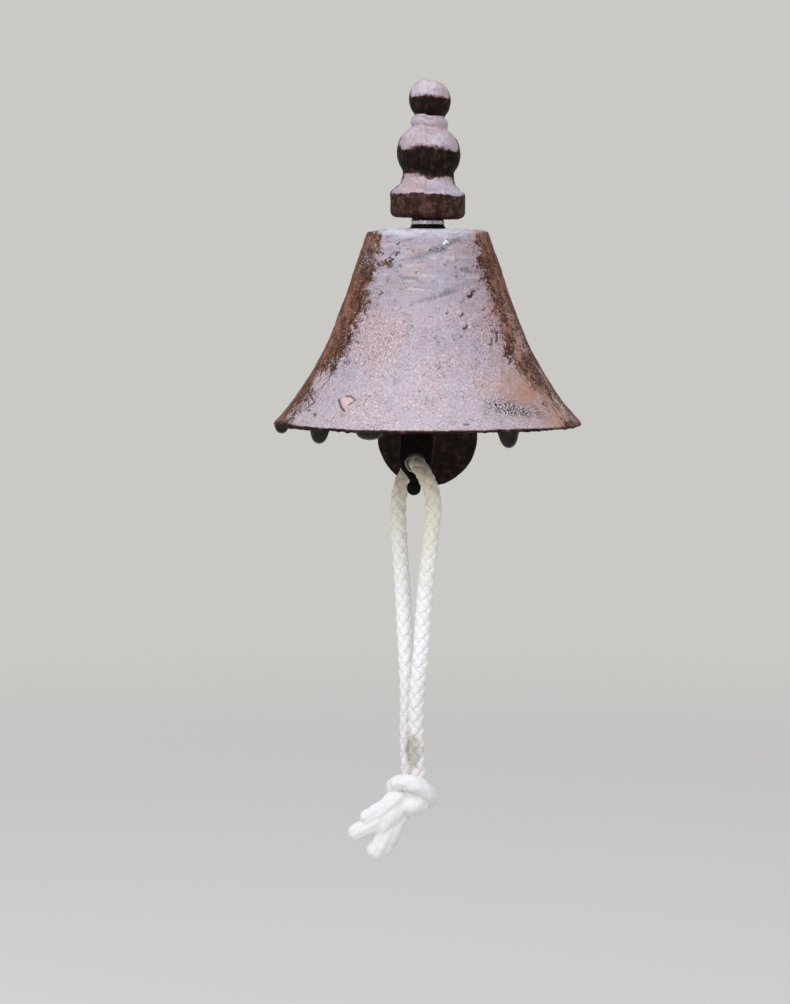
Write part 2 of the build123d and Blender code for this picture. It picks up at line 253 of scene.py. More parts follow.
def object_place(tree):
    return add_node(tree, "ShaderNodeTexCoord").outputs["Object"]


def height_of(tree, where):
    return add_node(tree, "ShaderNodeSeparateXYZ", {0: where}).outputs["Z"]


def attribute(tree, name):
    return add_node(tree, "ShaderNodeAttribute", attribute_name=name).outputs["Fac"]


# Lacquered rusty iron: a pale lilac sheen painted into the colour where the surface faces up, as painted
# reflection of the sky, dark brown where it doesn't
SHEEN_LILAC = (0.36, 0.285, 0.325)
SHEEN_PINK = (0.385, 0.27, 0.28)
SHEEN_BLUE = (0.245, 0.235, 0.29)
# Painted highlight and painted shade for specks and patches in the sheen
SHEEN_WHITE = (0.60, 0.56, 0.60)
SHEEN_SHADE = (0.19, 0.135, 0.145)
# Painted shadow in pitting
PIT_SHADE = (0.085, 0.055, 0.055)
# Painted highlight on crests of folds and on blister tops, painted shade in the folds' valleys
FOLD_HIGHLIGHT = (0.40, 0.28, 0.275)
FOLD_SHADE = (0.12, 0.12, 0.15)
# Painted highlight along the crown's edge
CROWN_HIGHLIGHT = (0.50, 0.50, 0.57)
CHIP_PINK = (0.54, 0.40, 0.37)
# Painted highlight of a glint
GLINT_HIGHLIGHT = (0.82, 0.84, 0.88)
POCK_DARK = (0.012, 0.011, 0.014)
RUST = (0.155, 0.058, 0.029)
RUST_LIGHT = (0.255, 0.112, 0.07)
RUST_TAN = (0.36, 0.175, 0.12)
SEAM_RED = (0.10, 0.04, 0.026)
DULL_BROWN = (0.105, 0.054, 0.045)
IRON_BROWN = (0.042, 0.018, 0.012)
IRON_DARK = (0.007, 0.0032, 0.0022)
CROWN_Z = RIM_Z + 70 * MM
BOSS_TOP = 83.9
BOSS_TOP_Z = RIM_Z + BOSS_TOP * MM
COLLAR_Z = RIM_Z + 107.0 * MM


def sheen_colour(tree, patches, coarse):
    """Clouded pale painted sky reflection, lilac with pink and blue in it."""
    return layered(tree, SHEEN_LILAC, [
        (stretch(tree, patches, 0.42, 0.62), SHEEN_PINK),
        (stretch(tree, coarse, 0.54, 0.7, 0, 0.7), SHEEN_BLUE),
    ])


def iron_shader(tree, shader, colour, sky_sheen, bumps):
    """Gloss of the lacquer, strong under the painted sheen and weak on bare dark iron, over the bumps'
    heights.
    """
    normal = bumped(tree, bumps)
    feed(tree, shader, {
        "Base Color": colour,
        "Roughness": stretch(tree, sky_sheen, 0, 1, 0.62, 0.42, smooth=False),
        "Coat Weight": stretch(tree, sky_sheen, 0, 1, 0.03, 0.9, smooth=False),
        "Coat Roughness": 0.26, "Coat IOR": 1.55, "Specular IOR Level": 0.07,
        "Normal": normal, "Coat Normal": normal,
    })


def bell_finish():
    """Bell's lacquer: painted sky sheen with painted highlight and shade specks on the front and back, rust
    on the flanks, marks and painted light and shade from the mesh.
    """
    material, tree, shader = new_material("bell_iron_lacquer")
    where = object_place(tree)
    height = height_of(tree, where)
    flat = add_node(tree, "ShaderNodeMapping", {"Vector": where, "Scale": (0.2, 0.2, 1.0)}).outputs[0]
    patches = noise_of(tree, where, 75, 4.0, 0.6)
    coarse = noise_of(tree, where, 300, 3.0, 0.55)
    blotch = noise_of(tree, where, 150, 6.0, 0.72)
    grain = noise_of(tree, where, 1350, 3.0, 0.62)
    fleck = noise_of(tree, where, 1700, 2.0, 0.6)
    curls = noise_of(tree, where, 520, 1.0, 0.5, 0.6)
    groups = noise_of(tree, where, 240, 2.0)
    streaks = noise_of(tree, flat, 620, 4.0, 0.6, 0.4)
    high = stretch(tree, height, CROWN_Z - 0.036, CROWN_Z - 0.014)
    speck = add_node(tree, "ShaderNodeMix", {"Factor": high, "A": grain, "B": streaks}).outputs[0]
    share = attribute(tree, "sky_sheen")
    tan = attribute(tree, "tan")

    # Painted shadows of small pitting: thin dark curls in groups
    ring = calc(tree, "ABSOLUTE", calc(tree, "SUBTRACT", curls, 0.5))
    pit_shadows = times(tree, stretch(tree, ring, 0.034, 0.008, 0, 0.75), stretch(tree, groups, 0.5, 0.57))
    # Painted light and shade of folds and blisters, broken by streaks
    broken = times(tree, attribute(tree, "relief_highlight_and_shade"), stretch(tree, streaks, 0.3, 0.7, 0.4, 1.5, smooth=False))
    calm = times(tree, stretch(tree, high, 0, 1, 1.0, 0.45), stretch(tree, patches, 0.35, 0.6, 0.5, 1.0))
    under_crown = stretch(tree, height, CROWN_Z - 0.0042, CROWN_Z - 0.0014)
    # Painted sky sheen, bluer high up and whiter near the rim, with the painted highlights and shades below
    # laid over it
    sky_sheen = layered(tree, sheen_colour(tree, patches, coarse), [
        (stretch(tree, high, 0, 1, 0, 0.35), SHEEN_BLUE),
        (stretch(tree, broken, 0.05, 0.75, 0, 0.8), FOLD_HIGHLIGHT),
        (stretch(tree, broken, -0.1, -0.9, 0, 0.9), FOLD_SHADE),
        # Painted highlight and shade specks, calmer high up
        (times(tree, stretch(tree, speck, 0.52, 0.7, 0, 0.95), calm), SHEEN_WHITE),
        (times(tree, stretch(tree, speck, 0.48, 0.32, 0, 0.95), calm), SHEEN_SHADE),
        (pit_shadows, PIT_SHADE),
        (stretch(tree, height, RIM_Z + 0.03, RIM_Z + 0.012, 0, 0.12), SHEEN_WHITE),
        # Painted highlight along the crown's edge, broken by streaks
        (times(tree, under_crown, stretch(tree, streaks, 0.36, 0.56, 0.2, 0.85)), CROWN_HIGHLIGHT),
        (times(tree, tan, stretch(tree, coarse, 0.3, 0.6, 0.55, 1.0)), RUST_TAN),
    ])
    rust = layered(tree, RUST, [
        (stretch(tree, patches, 0.42, 0.62), RUST_LIGHT),
        # Darker brown where the painted sheen begins and under it
        (stretch(tree, share, 0.12, 0.3, 0, 0.5), IRON_BROWN),
        (stretch(tree, tan, 0.3, 1.0, 0, 0.3), RUST_TAN),
        (stretch(tree, blotch, 0.54, 0.42, 0, 0.9), IRON_BROWN),
        (stretch(tree, coarse, 0.5, 0.36, 0, 0.6), IRON_BROWN),
        (stretch(tree, grain, 0.5, 0.64, 0, 0.7), RUST_TAN),
        (pit_shadows, IRON_DARK),
        # Painted shade: darker brown on faces turned down and inside the bell
        (stretch(tree, share, -0.05, -0.3), IRON_BROWN),
    ])
    wander = centred(tree, plus(tree, blotch, patches), 1.0, 0.35)
    drift = centred(tree, grain, 0.5, 0.6)
    cover = stretch(tree, plus(tree, share, plus(tree, wander, drift)), 0.35, 0.53)

    pock = times(tree, attribute(tree, "pock"), stretch(tree, coarse, 0.36, 0.52, 0.5, 1.15))
    glint = times(tree, attribute(tree, "glint"), stretch(tree, fleck, 0.4, 0.6, 0.5, 1.2))
    lip = plus(tree, attribute(tree, "lip"), plus(tree, times(tree, drift, 1.6), wander))
    bare = mix_colour(tree, stretch(tree, blotch, 0.45, 0.62), IRON_DARK, IRON_BROWN)
    colour = layered(tree, rust, [
        (cover, sky_sheen),
        # Dark pocks, with painted highlight specks among them
        (times(tree, pock, stretch(tree, fleck, 0.45, 0.52)), POCK_DARK),
        (times(tree, pock, stretch(tree, fleck, 0.44, 0.37, 0, 0.7)), SHEEN_WHITE),
        (stretch(tree, attribute(tree, "chip"), 0.3, 0.7, 0, 0.8), CHIP_PINK),
        # Scratches in iron brown, with the painted crescent shadows under the blisters
        (stretch(tree, attribute(tree, "scratches_and_shadows"), 0.2, 0.75, 0, 0.9), IRON_BROWN),
        # Painted glint highlight
        (stretch(tree, glint, 0.35, 0.8), GLINT_HIGHLIGHT),
        (stretch(tree, lip, 0.3, 0.6), bare),
    ])
    bumps = [(grain, 0.9, 0.0004), (streaks, 0.3, 0.0003), (coarse, 0.5, 0.001)]
    iron_shader(tree, shader, colour, cover, bumps)
    return material


def bracket_finish():
    """Bracket's lacquer: a bright painted sky sheen on the tops, nearly black brown below them."""
    material, tree, shader = new_material("bracket_iron_lacquer")
    where = object_place(tree)
    height = height_of(tree, where)
    patches = noise_of(tree, where, 110, 3.0, 0.6)
    coarse = noise_of(tree, where, 380, 3.0, 0.55)
    grain = noise_of(tree, where, 1000, 3.0, 0.6)
    # Painted sky sheen on the bracket's tops, with paler patches and painted highlight and shade specks
    sky_sheen = layered(tree, sheen_colour(tree, patches, coarse), [
        (stretch(tree, patches, 0.5, 0.36, 0, 0.3), SHEEN_WHITE),
        (stretch(tree, grain, 0.6, 0.7, 0, 0.6), SHEEN_WHITE),
        (stretch(tree, grain, 0.42, 0.32, 0, 0.6), SHEEN_SHADE),
    ])

    above = stretch(tree, height, BOSS_TOP_Z - 0.0115, BOSS_TOP_Z - 0.0095, 0.15, 1.0)
    boss = times(tree, stretch(tree, height, BOSS_TOP_Z + 0.001, BOSS_TOP_Z - 0.001, 0.22, 1.0), above)
    mottle = times(tree, stretch(tree, coarse, 0.4, 0.66), stretch(tree, grain, 0.36, 0.62))
    drift = plus(tree, centred(tree, coarse, 0.5, 0.5), centred(tree, grain, 0.5, 0.4))
    edge = plus(tree, attribute(tree, "sky_sheen"), drift)
    cover = stretch(tree, edge, 0.26, 0.5)
    colour = layered(tree, IRON_DARK, [
        (stretch(tree, coarse, 0.5, 0.75, 0, 0.6), IRON_BROWN),
        (stretch(tree, boss, 0.4, 1, 0, 0.5), IRON_BROWN),
        (times(tree, mottle, boss), DULL_BROWN),
        (stretch(tree, attribute(tree, "seam"), 0.2, 0.9, 0, 0.6), SEAM_RED),
        # Dull brown band where the painted sheen begins
        (stretch(tree, edge, 0.14, 0.34), DULL_BROWN),
        (cover, sky_sheen),
    ])
    iron_shader(tree, shader, colour, cover, [(grain, 0.6, 0.0003), (coarse, 0.6, 0.001)])
    return material


LACQUER_BLACK = (0.004, 0.0024, 0.002)
LACQUER_BROWN = (0.012, 0.006, 0.0045)
ZINC_GREY = (0.62, 0.62, 0.66)
ZINC_STAINED = (0.3, 0.26, 0.24)
# Nearly black: dark iron darkened further as painted shade
CLAPPER_SHADED_BLACK = (0.006, 0.005, 0.0045)
CLAPPER_SHADED_BROWN = (0.016, 0.009, 0.0065)


def dark_lacquer():
    """Thick dark gloss of the hardened drips."""
    material, tree, shader = new_material("drip_lacquer")
    cloud = noise_of(tree, object_place(tree), 500, 2.0)
    feed(tree, shader, {
        "Base Color": mix_colour(tree, stretch(tree, cloud, 0.4, 0.65), LACQUER_BLACK, LACQUER_BROWN),
        "Specular IOR Level": 0.1, "Roughness": 0.2, "Coat Weight": 0.3, "Coat Roughness": 0.05,
    })
    return material


def dull_steel():
    """Zinc-grey hardware, dulled and spotted with brown."""
    material, tree, shader = new_material("zinc_dulled")
    where = object_place(tree)
    cloud = noise_of(tree, where, 420, 4.0, 0.6)
    speck = noise_of(tree, where, 1400, 2.0)
    colour = layered(tree, ZINC_GREY, [
        (stretch(tree, cloud, 0.52, 0.66), ZINC_STAINED),
        (stretch(tree, speck, 0.6, 0.72, 0, 0.3), IRON_BROWN),
    ])
    feed(tree, shader, {
        "Base Color": colour,
        "Metallic": stretch(tree, cloud, 0.45, 0.62, 0.85, 0.2),
        "Roughness": stretch(tree, cloud, 0.4, 0.65, 0.26, 0.5),
        "Normal": bumped(tree, [(speck, 0.3, 0.0002)]),
    })
    return material


def black_iron():
    """Clapper's casting, nearly black: dark iron darkened further as painted shade, with a little brown in
    its grain.
    """
    material, tree, shader = new_material("clapper_iron_dark")
    where = object_place(tree)
    coarse = noise_of(tree, where, 420, 3.0, 0.6)
    grain = noise_of(tree, where, 1300, 3.0, 0.6)
    colour = layered(tree, CLAPPER_SHADED_BLACK, [
        (stretch(tree, coarse, 0.45, 0.7), CLAPPER_SHADED_BROWN),
        (stretch(tree, grain, 0.62, 0.74, 0, 0.5), IRON_BROWN),
    ])
    feed(tree, shader, {
        "Base Color": colour,
        "Roughness": stretch(tree, grain, 0.4, 0.65, 0.55, 0.7),
        "Specular IOR Level": 0.03,
        "Normal": bumped(tree, [(grain, 0.4, 0.00025), (coarse, 0.4, 0.0007)]),
    })
    return material


COTTON = (0.77, 0.755, 0.735)
COTTON_SHADE = (0.70, 0.675, 0.64)
# The cord's white is lighter than the knot's same cotton, as painted light
CORD_LIT_WHITE = (0.92, 0.90, 0.875)
CORD_SHADE = (0.83, 0.80, 0.75)
CORD_GREYED = (0.75, 0.725, 0.70)
COTTON_RUBBED = (0.80, 0.73, 0.54)
COTTON_DARK_SPOT = (0.40, 0.39, 0.33)
# Painted shade at the cord's top
CORD_TOP_SHADE = (0.42, 0.35, 0.22)
COTTON_BLUSH = (0.78, 0.69, 0.67)
COTTON_DEPTH = (0.003, 0.0026, 0.0022)
DARK_SPOT_CENTRE = (-0.0053, AXIS_Y - 0.003, RIM_Z - 0.118)
SPOT_REACH = (0.0066, 0.009, 0.013)
YARNS_ROUND = 7
YARN_SLANT = 90.0


def cotton(name, plaited):
    """Soft white cotton, lighter on the cord than on the knot as painted light. The cord is yellowed where it
    rubs in the clapper, darker brown at its top as painted shade, and darker in a spot above the knot.
    """
    material, tree, shader = new_material(name)
    place = add_node(tree, "ShaderNodeTexCoord").outputs
    where = place["Object"]
    cloud = noise_of(tree, where, 260, 4.0, 0.6)
    fibre = noise_of(tree, where, 2600, 3.0, 0.7)
    # Lighter white on the cord than on the knot, as painted light
    white, shade = (CORD_LIT_WHITE, CORD_SHADE) if plaited else (COTTON, COTTON_SHADE)
    layers = [
        (stretch(tree, cloud, 0.45, 0.7, 0, 0.5), shade),
        (stretch(tree, fibre, 0.35, 0.7, 0.2, 0.0), shade),
    ]
    bumps = [(fibre, 0.3, 0.0002)]
    if plaited:
        height = plus(tree, height_of(tree, where), times(tree, cloud, 0.03))
        spot = add_node(tree, "ShaderNodeMapping", {
            "Vector": where,
            "Location": [-middle / reach for middle, reach in zip(DARK_SPOT_CENTRE, SPOT_REACH)],
            "Scale": [1 / reach for reach in SPOT_REACH],
        }).outputs[0]
        away = plus(tree, length_of(tree, spot), times(tree, cloud, 0.6))
        layers += [
            (stretch(tree, height, -0.072, 0.002, 0, 0.95), COTTON_RUBBED),
            # Painted shade: darker brown at the cord's top
            (stretch(tree, height, -0.030, -0.004, 0, 0.8), CORD_TOP_SHADE),
            (stretch(tree, height, -0.075, -0.105, 0, 0.9), CORD_GREYED),
            (stretch(tree, away, 1.25, 0.85, 0, 0.6), COTTON_BLUSH),
            # Darker in a spot above the knot
            (stretch(tree, away, 0.98, 0.68, 0, 0.85), COTTON_DARK_SPOT),
        ]
        strand = add_node(tree, "ShaderNodeSeparateXYZ", {0: place["UV"]}).outputs
        slant = plus(tree, strand["X"], times(tree, strand["Y"], YARN_SLANT))
        yarns = calc(tree, "SINE", times(tree, slant, 2 * math.pi * YARNS_ROUND))
        bumps.append((yarns, 0.35, 0.00012))
    feed(tree, shader, {
        "Base Color": layered(tree, white, layers), "Roughness": 0.95, "Specular IOR Level": 0.2,
        "Sheen Weight": 0.3, "Sheen Roughness": 0.5, "Subsurface Weight": 0.5,
        "Subsurface Radius": COTTON_DEPTH, "Normal": bumped(tree, bumps),
    })
    return material


# Mesh helpers
def smooth_faces(mesh):
    mesh.polygons.foreach_set("use_smooth", np.ones(len(mesh.polygons), dtype=bool))


def read_points(mesh):
    points = np.empty(len(mesh.vertices) * 3)
    mesh.vertices.foreach_get("co", points)
    return points.reshape(-1, 3)


def write_points(mesh, points):
    mesh.vertices.foreach_set("co", np.ascontiguousarray(points, dtype=np.float64).ravel())
    mesh.update()


def read_normals(mesh):
    normals = np.empty(len(mesh.vertices) * 3)
    mesh.vertex_normals.foreach_get("vector", normals)
    return normals.reshape(-1, 3)


def store(mesh, name, values):
    """Values kept on the mesh's points, for its material to read."""
    layer = mesh.attributes.new(name, "FLOAT", "POINT")
    layer.data.foreach_set("value", np.ascontiguousarray(values, dtype=np.float32))


def ramp(values, start, end):
    """Straight rise from 0 at the start to 1 at the end, and level beyond both."""
    return np.clip((values - start) / (end - start), 0, 1)


def near(values, middle, reach, power=2):
    """1 at the middle, fading to nothing past the reach, with a flat top for a higher even power."""
    return np.exp(-((values - middle) / reach) ** power)


SEED_SHIFT = (7.3, 3.1, 5.7)


def lumps(points, size, seed):
    """Soft noise between about -1 and 1 at each point, with lumps of that size in metres."""
    shift = Vector([seed * part for part in SEED_SHIFT])
    return np.array([noise.noise(Vector(p) / size + shift) for p in points])


def mixed_lumps(points, kinds):
    """Sum of several sizes of lumps, each a size in metres, a seed and a weight."""
    return sum(weight * lumps(points, size, seed) for size, seed, weight in kinds)


def sky_share(normals):
    """How openly a surface faces the sky in front or behind: high on tops, low on flanks and undersides."""
    up = normals[:, 2]
    return 2 * up * np.maximum(np.abs(normals[:, 1]), 0.6 * ramp(up, 0.7, 0.95))


def turned_outward(mesh):
    """Faces flipped if the closed mesh is inside out."""
    points = read_points(mesh)
    volume = 0.0
    for face in mesh.polygons:
        a = points[face.vertices[0]]
        for second, third in zip(face.vertices[1:], face.vertices[2:]):
            volume += np.dot(a, np.cross(points[second], points[third]))
    if volume < 0:
        mesh.flip_normals()


def evaluated_mesh(thing):
    """New plain mesh of an object as its modifiers or its spline leave it."""
    depsgraph = bpy.context.evaluated_depsgraph_get()
    return bpy.data.meshes.new_from_object(thing.evaluated_get(depsgraph), depsgraph=depsgraph)


def made_plain(piece):
    """The piece's modifiers worked into its own mesh."""
    mesh = evaluated_mesh(piece)
    piece.modifiers.clear()
    piece.data = mesh
    mesh.name = piece.name
    return mesh


def remeshed(piece, voxel, factor, iterations):
    """The piece as one even skin, relaxed."""
    remesh = piece.modifiers.new("remesh", "REMESH")
    remesh.mode = "VOXEL"
    remesh.voxel_size = voxel
    relax = piece.modifiers.new("relax", "SMOOTH")
    relax.factor = factor
    relax.iterations = iterations
    return made_plain(piece)


def ring_of(centre, across, up, count):
    """Points round a centre, as far off as the across and up vectors reach."""
    turns = [2 * math.pi * k / count for k in range(count)]
    return [centre + across * math.cos(turn) + up * math.sin(turn) for turn in turns]


def tube_faces(first, rings, sides):
    """Faces of a closed tube of rings of points, from the first point's number."""
    faces = []
    for ring in range(rings - 1):
        for side in range(sides):
            a = first + ring * sides + side
            b = first + ring * sides + (side + 1) % sides
            faces.append((a, b, b + sides, a + sides))
    last = first + (rings - 1) * sides
    faces.append([first + side for side in reversed(range(sides))])
    faces.append([last + side for side in range(sides)])
    return faces


# Node tree that sweeps a section
MERGE_GAP = 1e-6


def new_tree(name, inputs):
    tree = bpy.data.node_groups.new(name, "GeometryNodeTree")
    tree.interface.new_socket("Geometry", in_out="INPUT", socket_type="NodeSocketGeometry")
    for label, kind, value in inputs:
        socket = tree.interface.new_socket(label, in_out="INPUT", socket_type=kind)
        if value is not None:
            socket.default_value = value
    tree.interface.new_socket("Geometry", in_out="OUTPUT", socket_type="NodeSocketGeometry")
    return tree, add_node(tree, "NodeGroupInput").outputs


def end_tree(tree, geometry, material):
    real = add_node(tree, "GeometryNodeRealizeInstances", {"Geometry": geometry})
    painted = add_node(tree, "GeometryNodeSetMaterial", {"Geometry": real.outputs[0], "Material": material})
    add_node(tree, "NodeGroupOutput", {0: painted.outputs[0]})


def run_tree(piece, tree, values):
    """The tree's result as the piece's own plain mesh."""
    modifier = piece.modifiers.new(tree.name, "NODES")
    modifier.node_group = tree
    for item in tree.interface.items_tree:
        if item.item_type == "SOCKET" and item.in_out == "INPUT" and item.name in values:
            modifier[item.identifier] = values[item.name]
    return made_plain(piece)


def casting_tree():
    """Section points swept round the upright axis, with lumps and grain where the section is rough."""
    tree, given = new_tree("turned_casting", [
        ("Columns", "NodeSocketInt", 360),
        ("Front Share", "NodeSocketFloat", 0.0),
        ("Lump Size", "NodeSocketFloat", 0.006),
        ("Lump Height", "NodeSocketFloat", 0.0002),
        ("Grain Size", "NodeSocketFloat", 0.0015),
        ("Grain Height", "NodeSocketFloat", 0.00006),
        ("Seed", "NodeSocketFloat", 0.0),
        ("Material", "NodeSocketMaterial", None),
    ])
    section = given["Geometry"]
    position = add_node(tree, "GeometryNodeInputPosition").outputs[0]
    rough = add_node(tree, "GeometryNodeInputNamedAttribute", {"Name": "rough"}, data_type="FLOAT").outputs[0]
    count = add_node(tree, "GeometryNodeAttributeDomainSize", {0: section}, component="MESH").outputs[0]
    grid = add_node(tree, "GeometryNodeMeshGrid", {
        "Size X": 1.0, "Size Y": 1.0,
        "Vertices X": plus(tree, given["Columns"], 1.0), "Vertices Y": plus(tree, count, 1.0),
    }).outputs["Mesh"]
    spot = add_node(tree, "ShaderNodeSeparateXYZ", {0: position}).outputs
    turn = times(tree, spot["X"], 2 * math.pi)
    turn = calc(tree, "SUBTRACT", turn, times(tree, calc(tree, "SINE", turn), given["Front Share"]))
    row = calc(tree, "ROUND", times(tree, plus(tree, spot["Y"], 0.5), count))
    row = calc(tree, "MODULO", row, count)

    def sampled(kind, value):
        inputs = {0: section, 1: value, "Index": row}
        return add_node(tree, "GeometryNodeSampleIndex", inputs, data_type=kind, domain="POINT").outputs[0]

    point = add_node(tree, "ShaderNodeSeparateXYZ", {0: sampled("FLOAT_VECTOR", position)}).outputs
    x = times(tree, point["X"], calc(tree, "SINE", turn))
    y = times(tree, times(tree, point["X"], calc(tree, "COSINE", turn)), -1.0)
    swept = add_node(tree, "ShaderNodeCombineXYZ", {"X": x, "Y": y, "Z": point["Z"]}).outputs[0]
    kept = add_node(tree, "GeometryNodeStoreNamedAttribute", {
        "Geometry": grid, "Name": "rough", "Value": sampled("FLOAT", rough),
    }, data_type="FLOAT", domain="POINT").outputs[0]
    shell = add_node(tree, "GeometryNodeSetPosition", {"Geometry": kept, "Position": swept}).outputs[0]
    merge = {"Geometry": shell, "Distance": MERGE_GAP}
    closed = add_node(tree, "GeometryNodeMergeByDistance", merge).outputs[0]

    def waves(size, height, detail):
        inputs = {"W": given["Seed"], "Scale": calc(tree, "DIVIDE", 1.0, size), "Detail": detail}
        cloud = add_node(tree, "ShaderNodeTexNoise", inputs, noise_dimensions="4D").outputs["Fac"]
        return times(tree, centred(tree, cloud, 0.5, 4.0), height)

    rise = plus(tree, waves(given["Lump Size"], given["Lump Height"], 2.0),
                waves(given["Grain Size"], given["Grain Height"], 1.0))
    outward = add_node(tree, "GeometryNodeInputNormal").outputs[0]
    inputs = {0: outward, "Scale": times(tree, rise, rough)}
    push = add_node(tree, "ShaderNodeVectorMath", inputs, operation="SCALE").outputs[0]
    uneven = add_node(tree, "GeometryNodeSetPosition", {"Geometry": closed, "Offset": push}).outputs[0]
    end_tree(tree, uneven, given["Material"])
    return tree


# Bell, as radius and height in millimetres
CROWN_NECK = [(3.3, 71.8), (5.8, 71.8), (6.9, 70.0)]
CROWN_ROUND = [(19.6, 70.0), (20.4, 69.87), (21.11, 69.51), (21.68, 68.96)]
OUTER_FLARE = [
    (22.06, 68.24), (25.5, 58.2), (30.1, 44.7), (35.7, 30.6), (41.5, 19.5), (48.3, 9.2), (54.8, 1.4),
]
RIM_EDGE = [(54.8, 1.4), (55.2, 0.6), (54.6, 0.0), (51.6, 0.0), (50.9, 1.0)]
INNER_FLARE = [(50.9, 1.0), (45.3, 7.0), (38.1, 17.5), (32.0, 29.1), (26.2, 43.4)]
CROWN_INSIDE = [(26.2, 43.4), (20.0, 62.0), (16.6, 65.5), (3.3, 65.5), (3.3, 71.8)]
OUTER_STEP = 0.58
INNER_STEP = 1.7
SMOOTH_SEAT = 7.5
ROUGH_FROM = 10.5
CROWN_TOP = 69.4
NECK_RADIUS = 8.6
SKIN_DEPTH = 1.2
RAGGED_RADIUS = 49
RAGGED_HEIGHT = 2.2
LIP_RADIUS = 49.5
BELL_SURFACE = {
    "Columns": 400, "Front Share": 0.33, "Lump Size": 0.007, "Lump Height": 0.00022, "Grain Size": 0.0017,
    "Grain Height": 0.000055, "Seed": 4.0,
}


def eased_line(points, step):
    """Smooth line through the points, with points about a step apart."""
    ends = [2 * np.array(points[0]) - np.array(points[1]), 2 * np.array(points[-1]) - np.array(points[-2])]
    knots = [ends[0], *[np.array(p) for p in points], ends[1]]
    line = []
    for a, b, c, d in zip(knots, knots[1:], knots[2:], knots[3:]):
        count = max(2, int(np.linalg.norm(c - b) / step))
        for k in range(count):
            t = k / count
            line.append(0.5 * (2 * b + (c - a) * t + (2 * a - 5 * b + 4 * c - d) * t * t
                               + (3 * b - a - 3 * c + d) * t ** 3))
    line.append(knots[-2])
    return line


def straight_line(points, step):
    line = []
    for a, b in zip(points, points[1:]):
        a = np.array(a)
        b = np.array(b)
        count = max(1, int(np.linalg.norm(b - a) / step))
        line += [a + (b - a) * k / count for k in range(count)]
    line.append(np.array(points[-1]))
    return line


def bell_section_points():
    """Closed half section of the bell, and how rough each point is."""
    stretches = [
        straight_line([*CROWN_NECK, *CROWN_ROUND, OUTER_FLARE[0]], OUTER_STEP),
        eased_line(OUTER_FLARE, OUTER_STEP),
        straight_line(RIM_EDGE, OUTER_STEP),
        eased_line(INNER_FLARE, INNER_STEP),
        straight_line(CROWN_INSIDE, INNER_STEP),
    ]
    points = np.array([point for line in stretches for point in line[:-1]])
    return points, ramp(points[:, 0], SMOOTH_SEAT, ROUGH_FROM)


# Marks on the bell's outside. A place is its angle from the front in degrees, positive to the right, and
# its height in millimetres. Folds each have a line, a width, a height and the strength of their painted light
# and shade.
FOLDS = [
    ([(-27, 58.3), (-12.7, 59.7), (-3.4, 60.5), (3.5, 62.0), (10.4, 62.6), (17.7, 64.4), (27.9, 66.5),
      (41, 67.8)], 1.15, 0.26, 1.0),
    ([(-26, 53.9), (-18.2, 52.7), (-9.1, 52.7), (-4.4, 51.0), (3, 50.6)], 1.0, 0.18, 0.8),
    ([(-13, 44.0), (-5, 44.8), (2.8, 45.6), (9.7, 46.8), (16.8, 47.7), (27, 49.5)], 1.0, 0.2, 0.75),
    ([(-27, 65.0), (-12.8, 66.5), (6.8, 68.2)], 0.7, 0.1, 0.7),
    ([(24, 56.2), (31, 55.0), (37, 54.6)], 1.2, 0.1, 0.7),
    ([(-20, 49.4), (-8, 49.6), (6, 48.4)], 0.8, 0.1, 0.45),
    ([(150, 60.0), (168, 58.5), (186, 59.5), (204, 61.0)], 1.1, 0.24, 0.9),
    ([(160, 40.0), (176, 41.5), (193, 41.0)], 1.0, 0.2, 0.8),
]
# Place, radius and height
BLISTERS = [
    (29.0, 47.7, 1.45, 0.35), (21.6, 36.4, 1.3, 0.32), (20.6, 40.5, 1.0, 0.2), (11.6, 41.0, 0.7, 0.2),
    (53.0, 41.8, 1.0, 0.28), (38.0, 42.4, 0.85, 0.14), (-27.5, 65.2, 0.8, 0.25), (-15.3, 37.9, 0.6, 0.15),
    (-36.2, 43.5, 0.7, 0.2), (47.0, 24.0, 0.8, 0.2), (-57.0, 46.0, 1.2, 0.3), (63.0, 30.0, 1.1, 0.3),
    (160.0, 30.0, 1.3, 0.35), (205.0, 48.0, 1.2, 0.3), (188.0, 18.0, 1.1, 0.3), (118.0, 40.0, 1.3, 0.3),
    (-110.0, 26.0, 1.4, 0.3),
]
# Line and width of each scratch or nick
MARKS = [
    ([(45.3, 56.2), (54.6, 56.3)], 0.42),
    ([(44.4, 33.8), (43.8, 31.6), (41.4, 30.3)], 0.5),
    ([(39.3, 31.6), (38.3, 29.5), (36.0, 29.7)], 0.42),
    ([(50.8, 48.9), (54.0, 47.6)], 0.45),
    ([(54.6, 32.2), (56.4, 28.6)], 0.45),
    ([(-41.0, 10.8), (-38.0, 12.0), (-34.4, 11.9), (-31.6, 10.7)], 0.34),
    ([(-41.0, 10.8), (-39.4, 9.8), (-37.6, 8.4), (-34.6, 6.9)], 0.5),
    ([(-31.6, 10.7), (-33.9, 9.0)], 0.42),
    ([(-54.6, 20.4), (-54.0, 17.1), (-56.9, 14.4), (-58.0, 14.0)], 0.42),
    ([(13.2, 3.0), (15.4, 3.0)], 0.45),
    ([(-52.6, 45.1), (-50.6, 42.2), (-51.1, 40.4), (-53.6, 38.4), (-55.9, 36.6)], 0.55),
    ([(-52.1, 36.3), (-48.1, 35.6)], 0.4),
    ([(-61.2, 11.4), (-55.8, 9.8)], 0.4),
    ([(-50.5, 5.7), (-48.5, 5.1)], 0.5),
    ([(47.0, 65.0), (52.0, 64.0)], 0.5),
]
CHIP = [(-38.2, 10.9), (-36.6, 9.6), (-34.2, 10.4), (-36.0, 10.6), (-35.6, 8.6)]
CHIP_WIDTH = 1.0
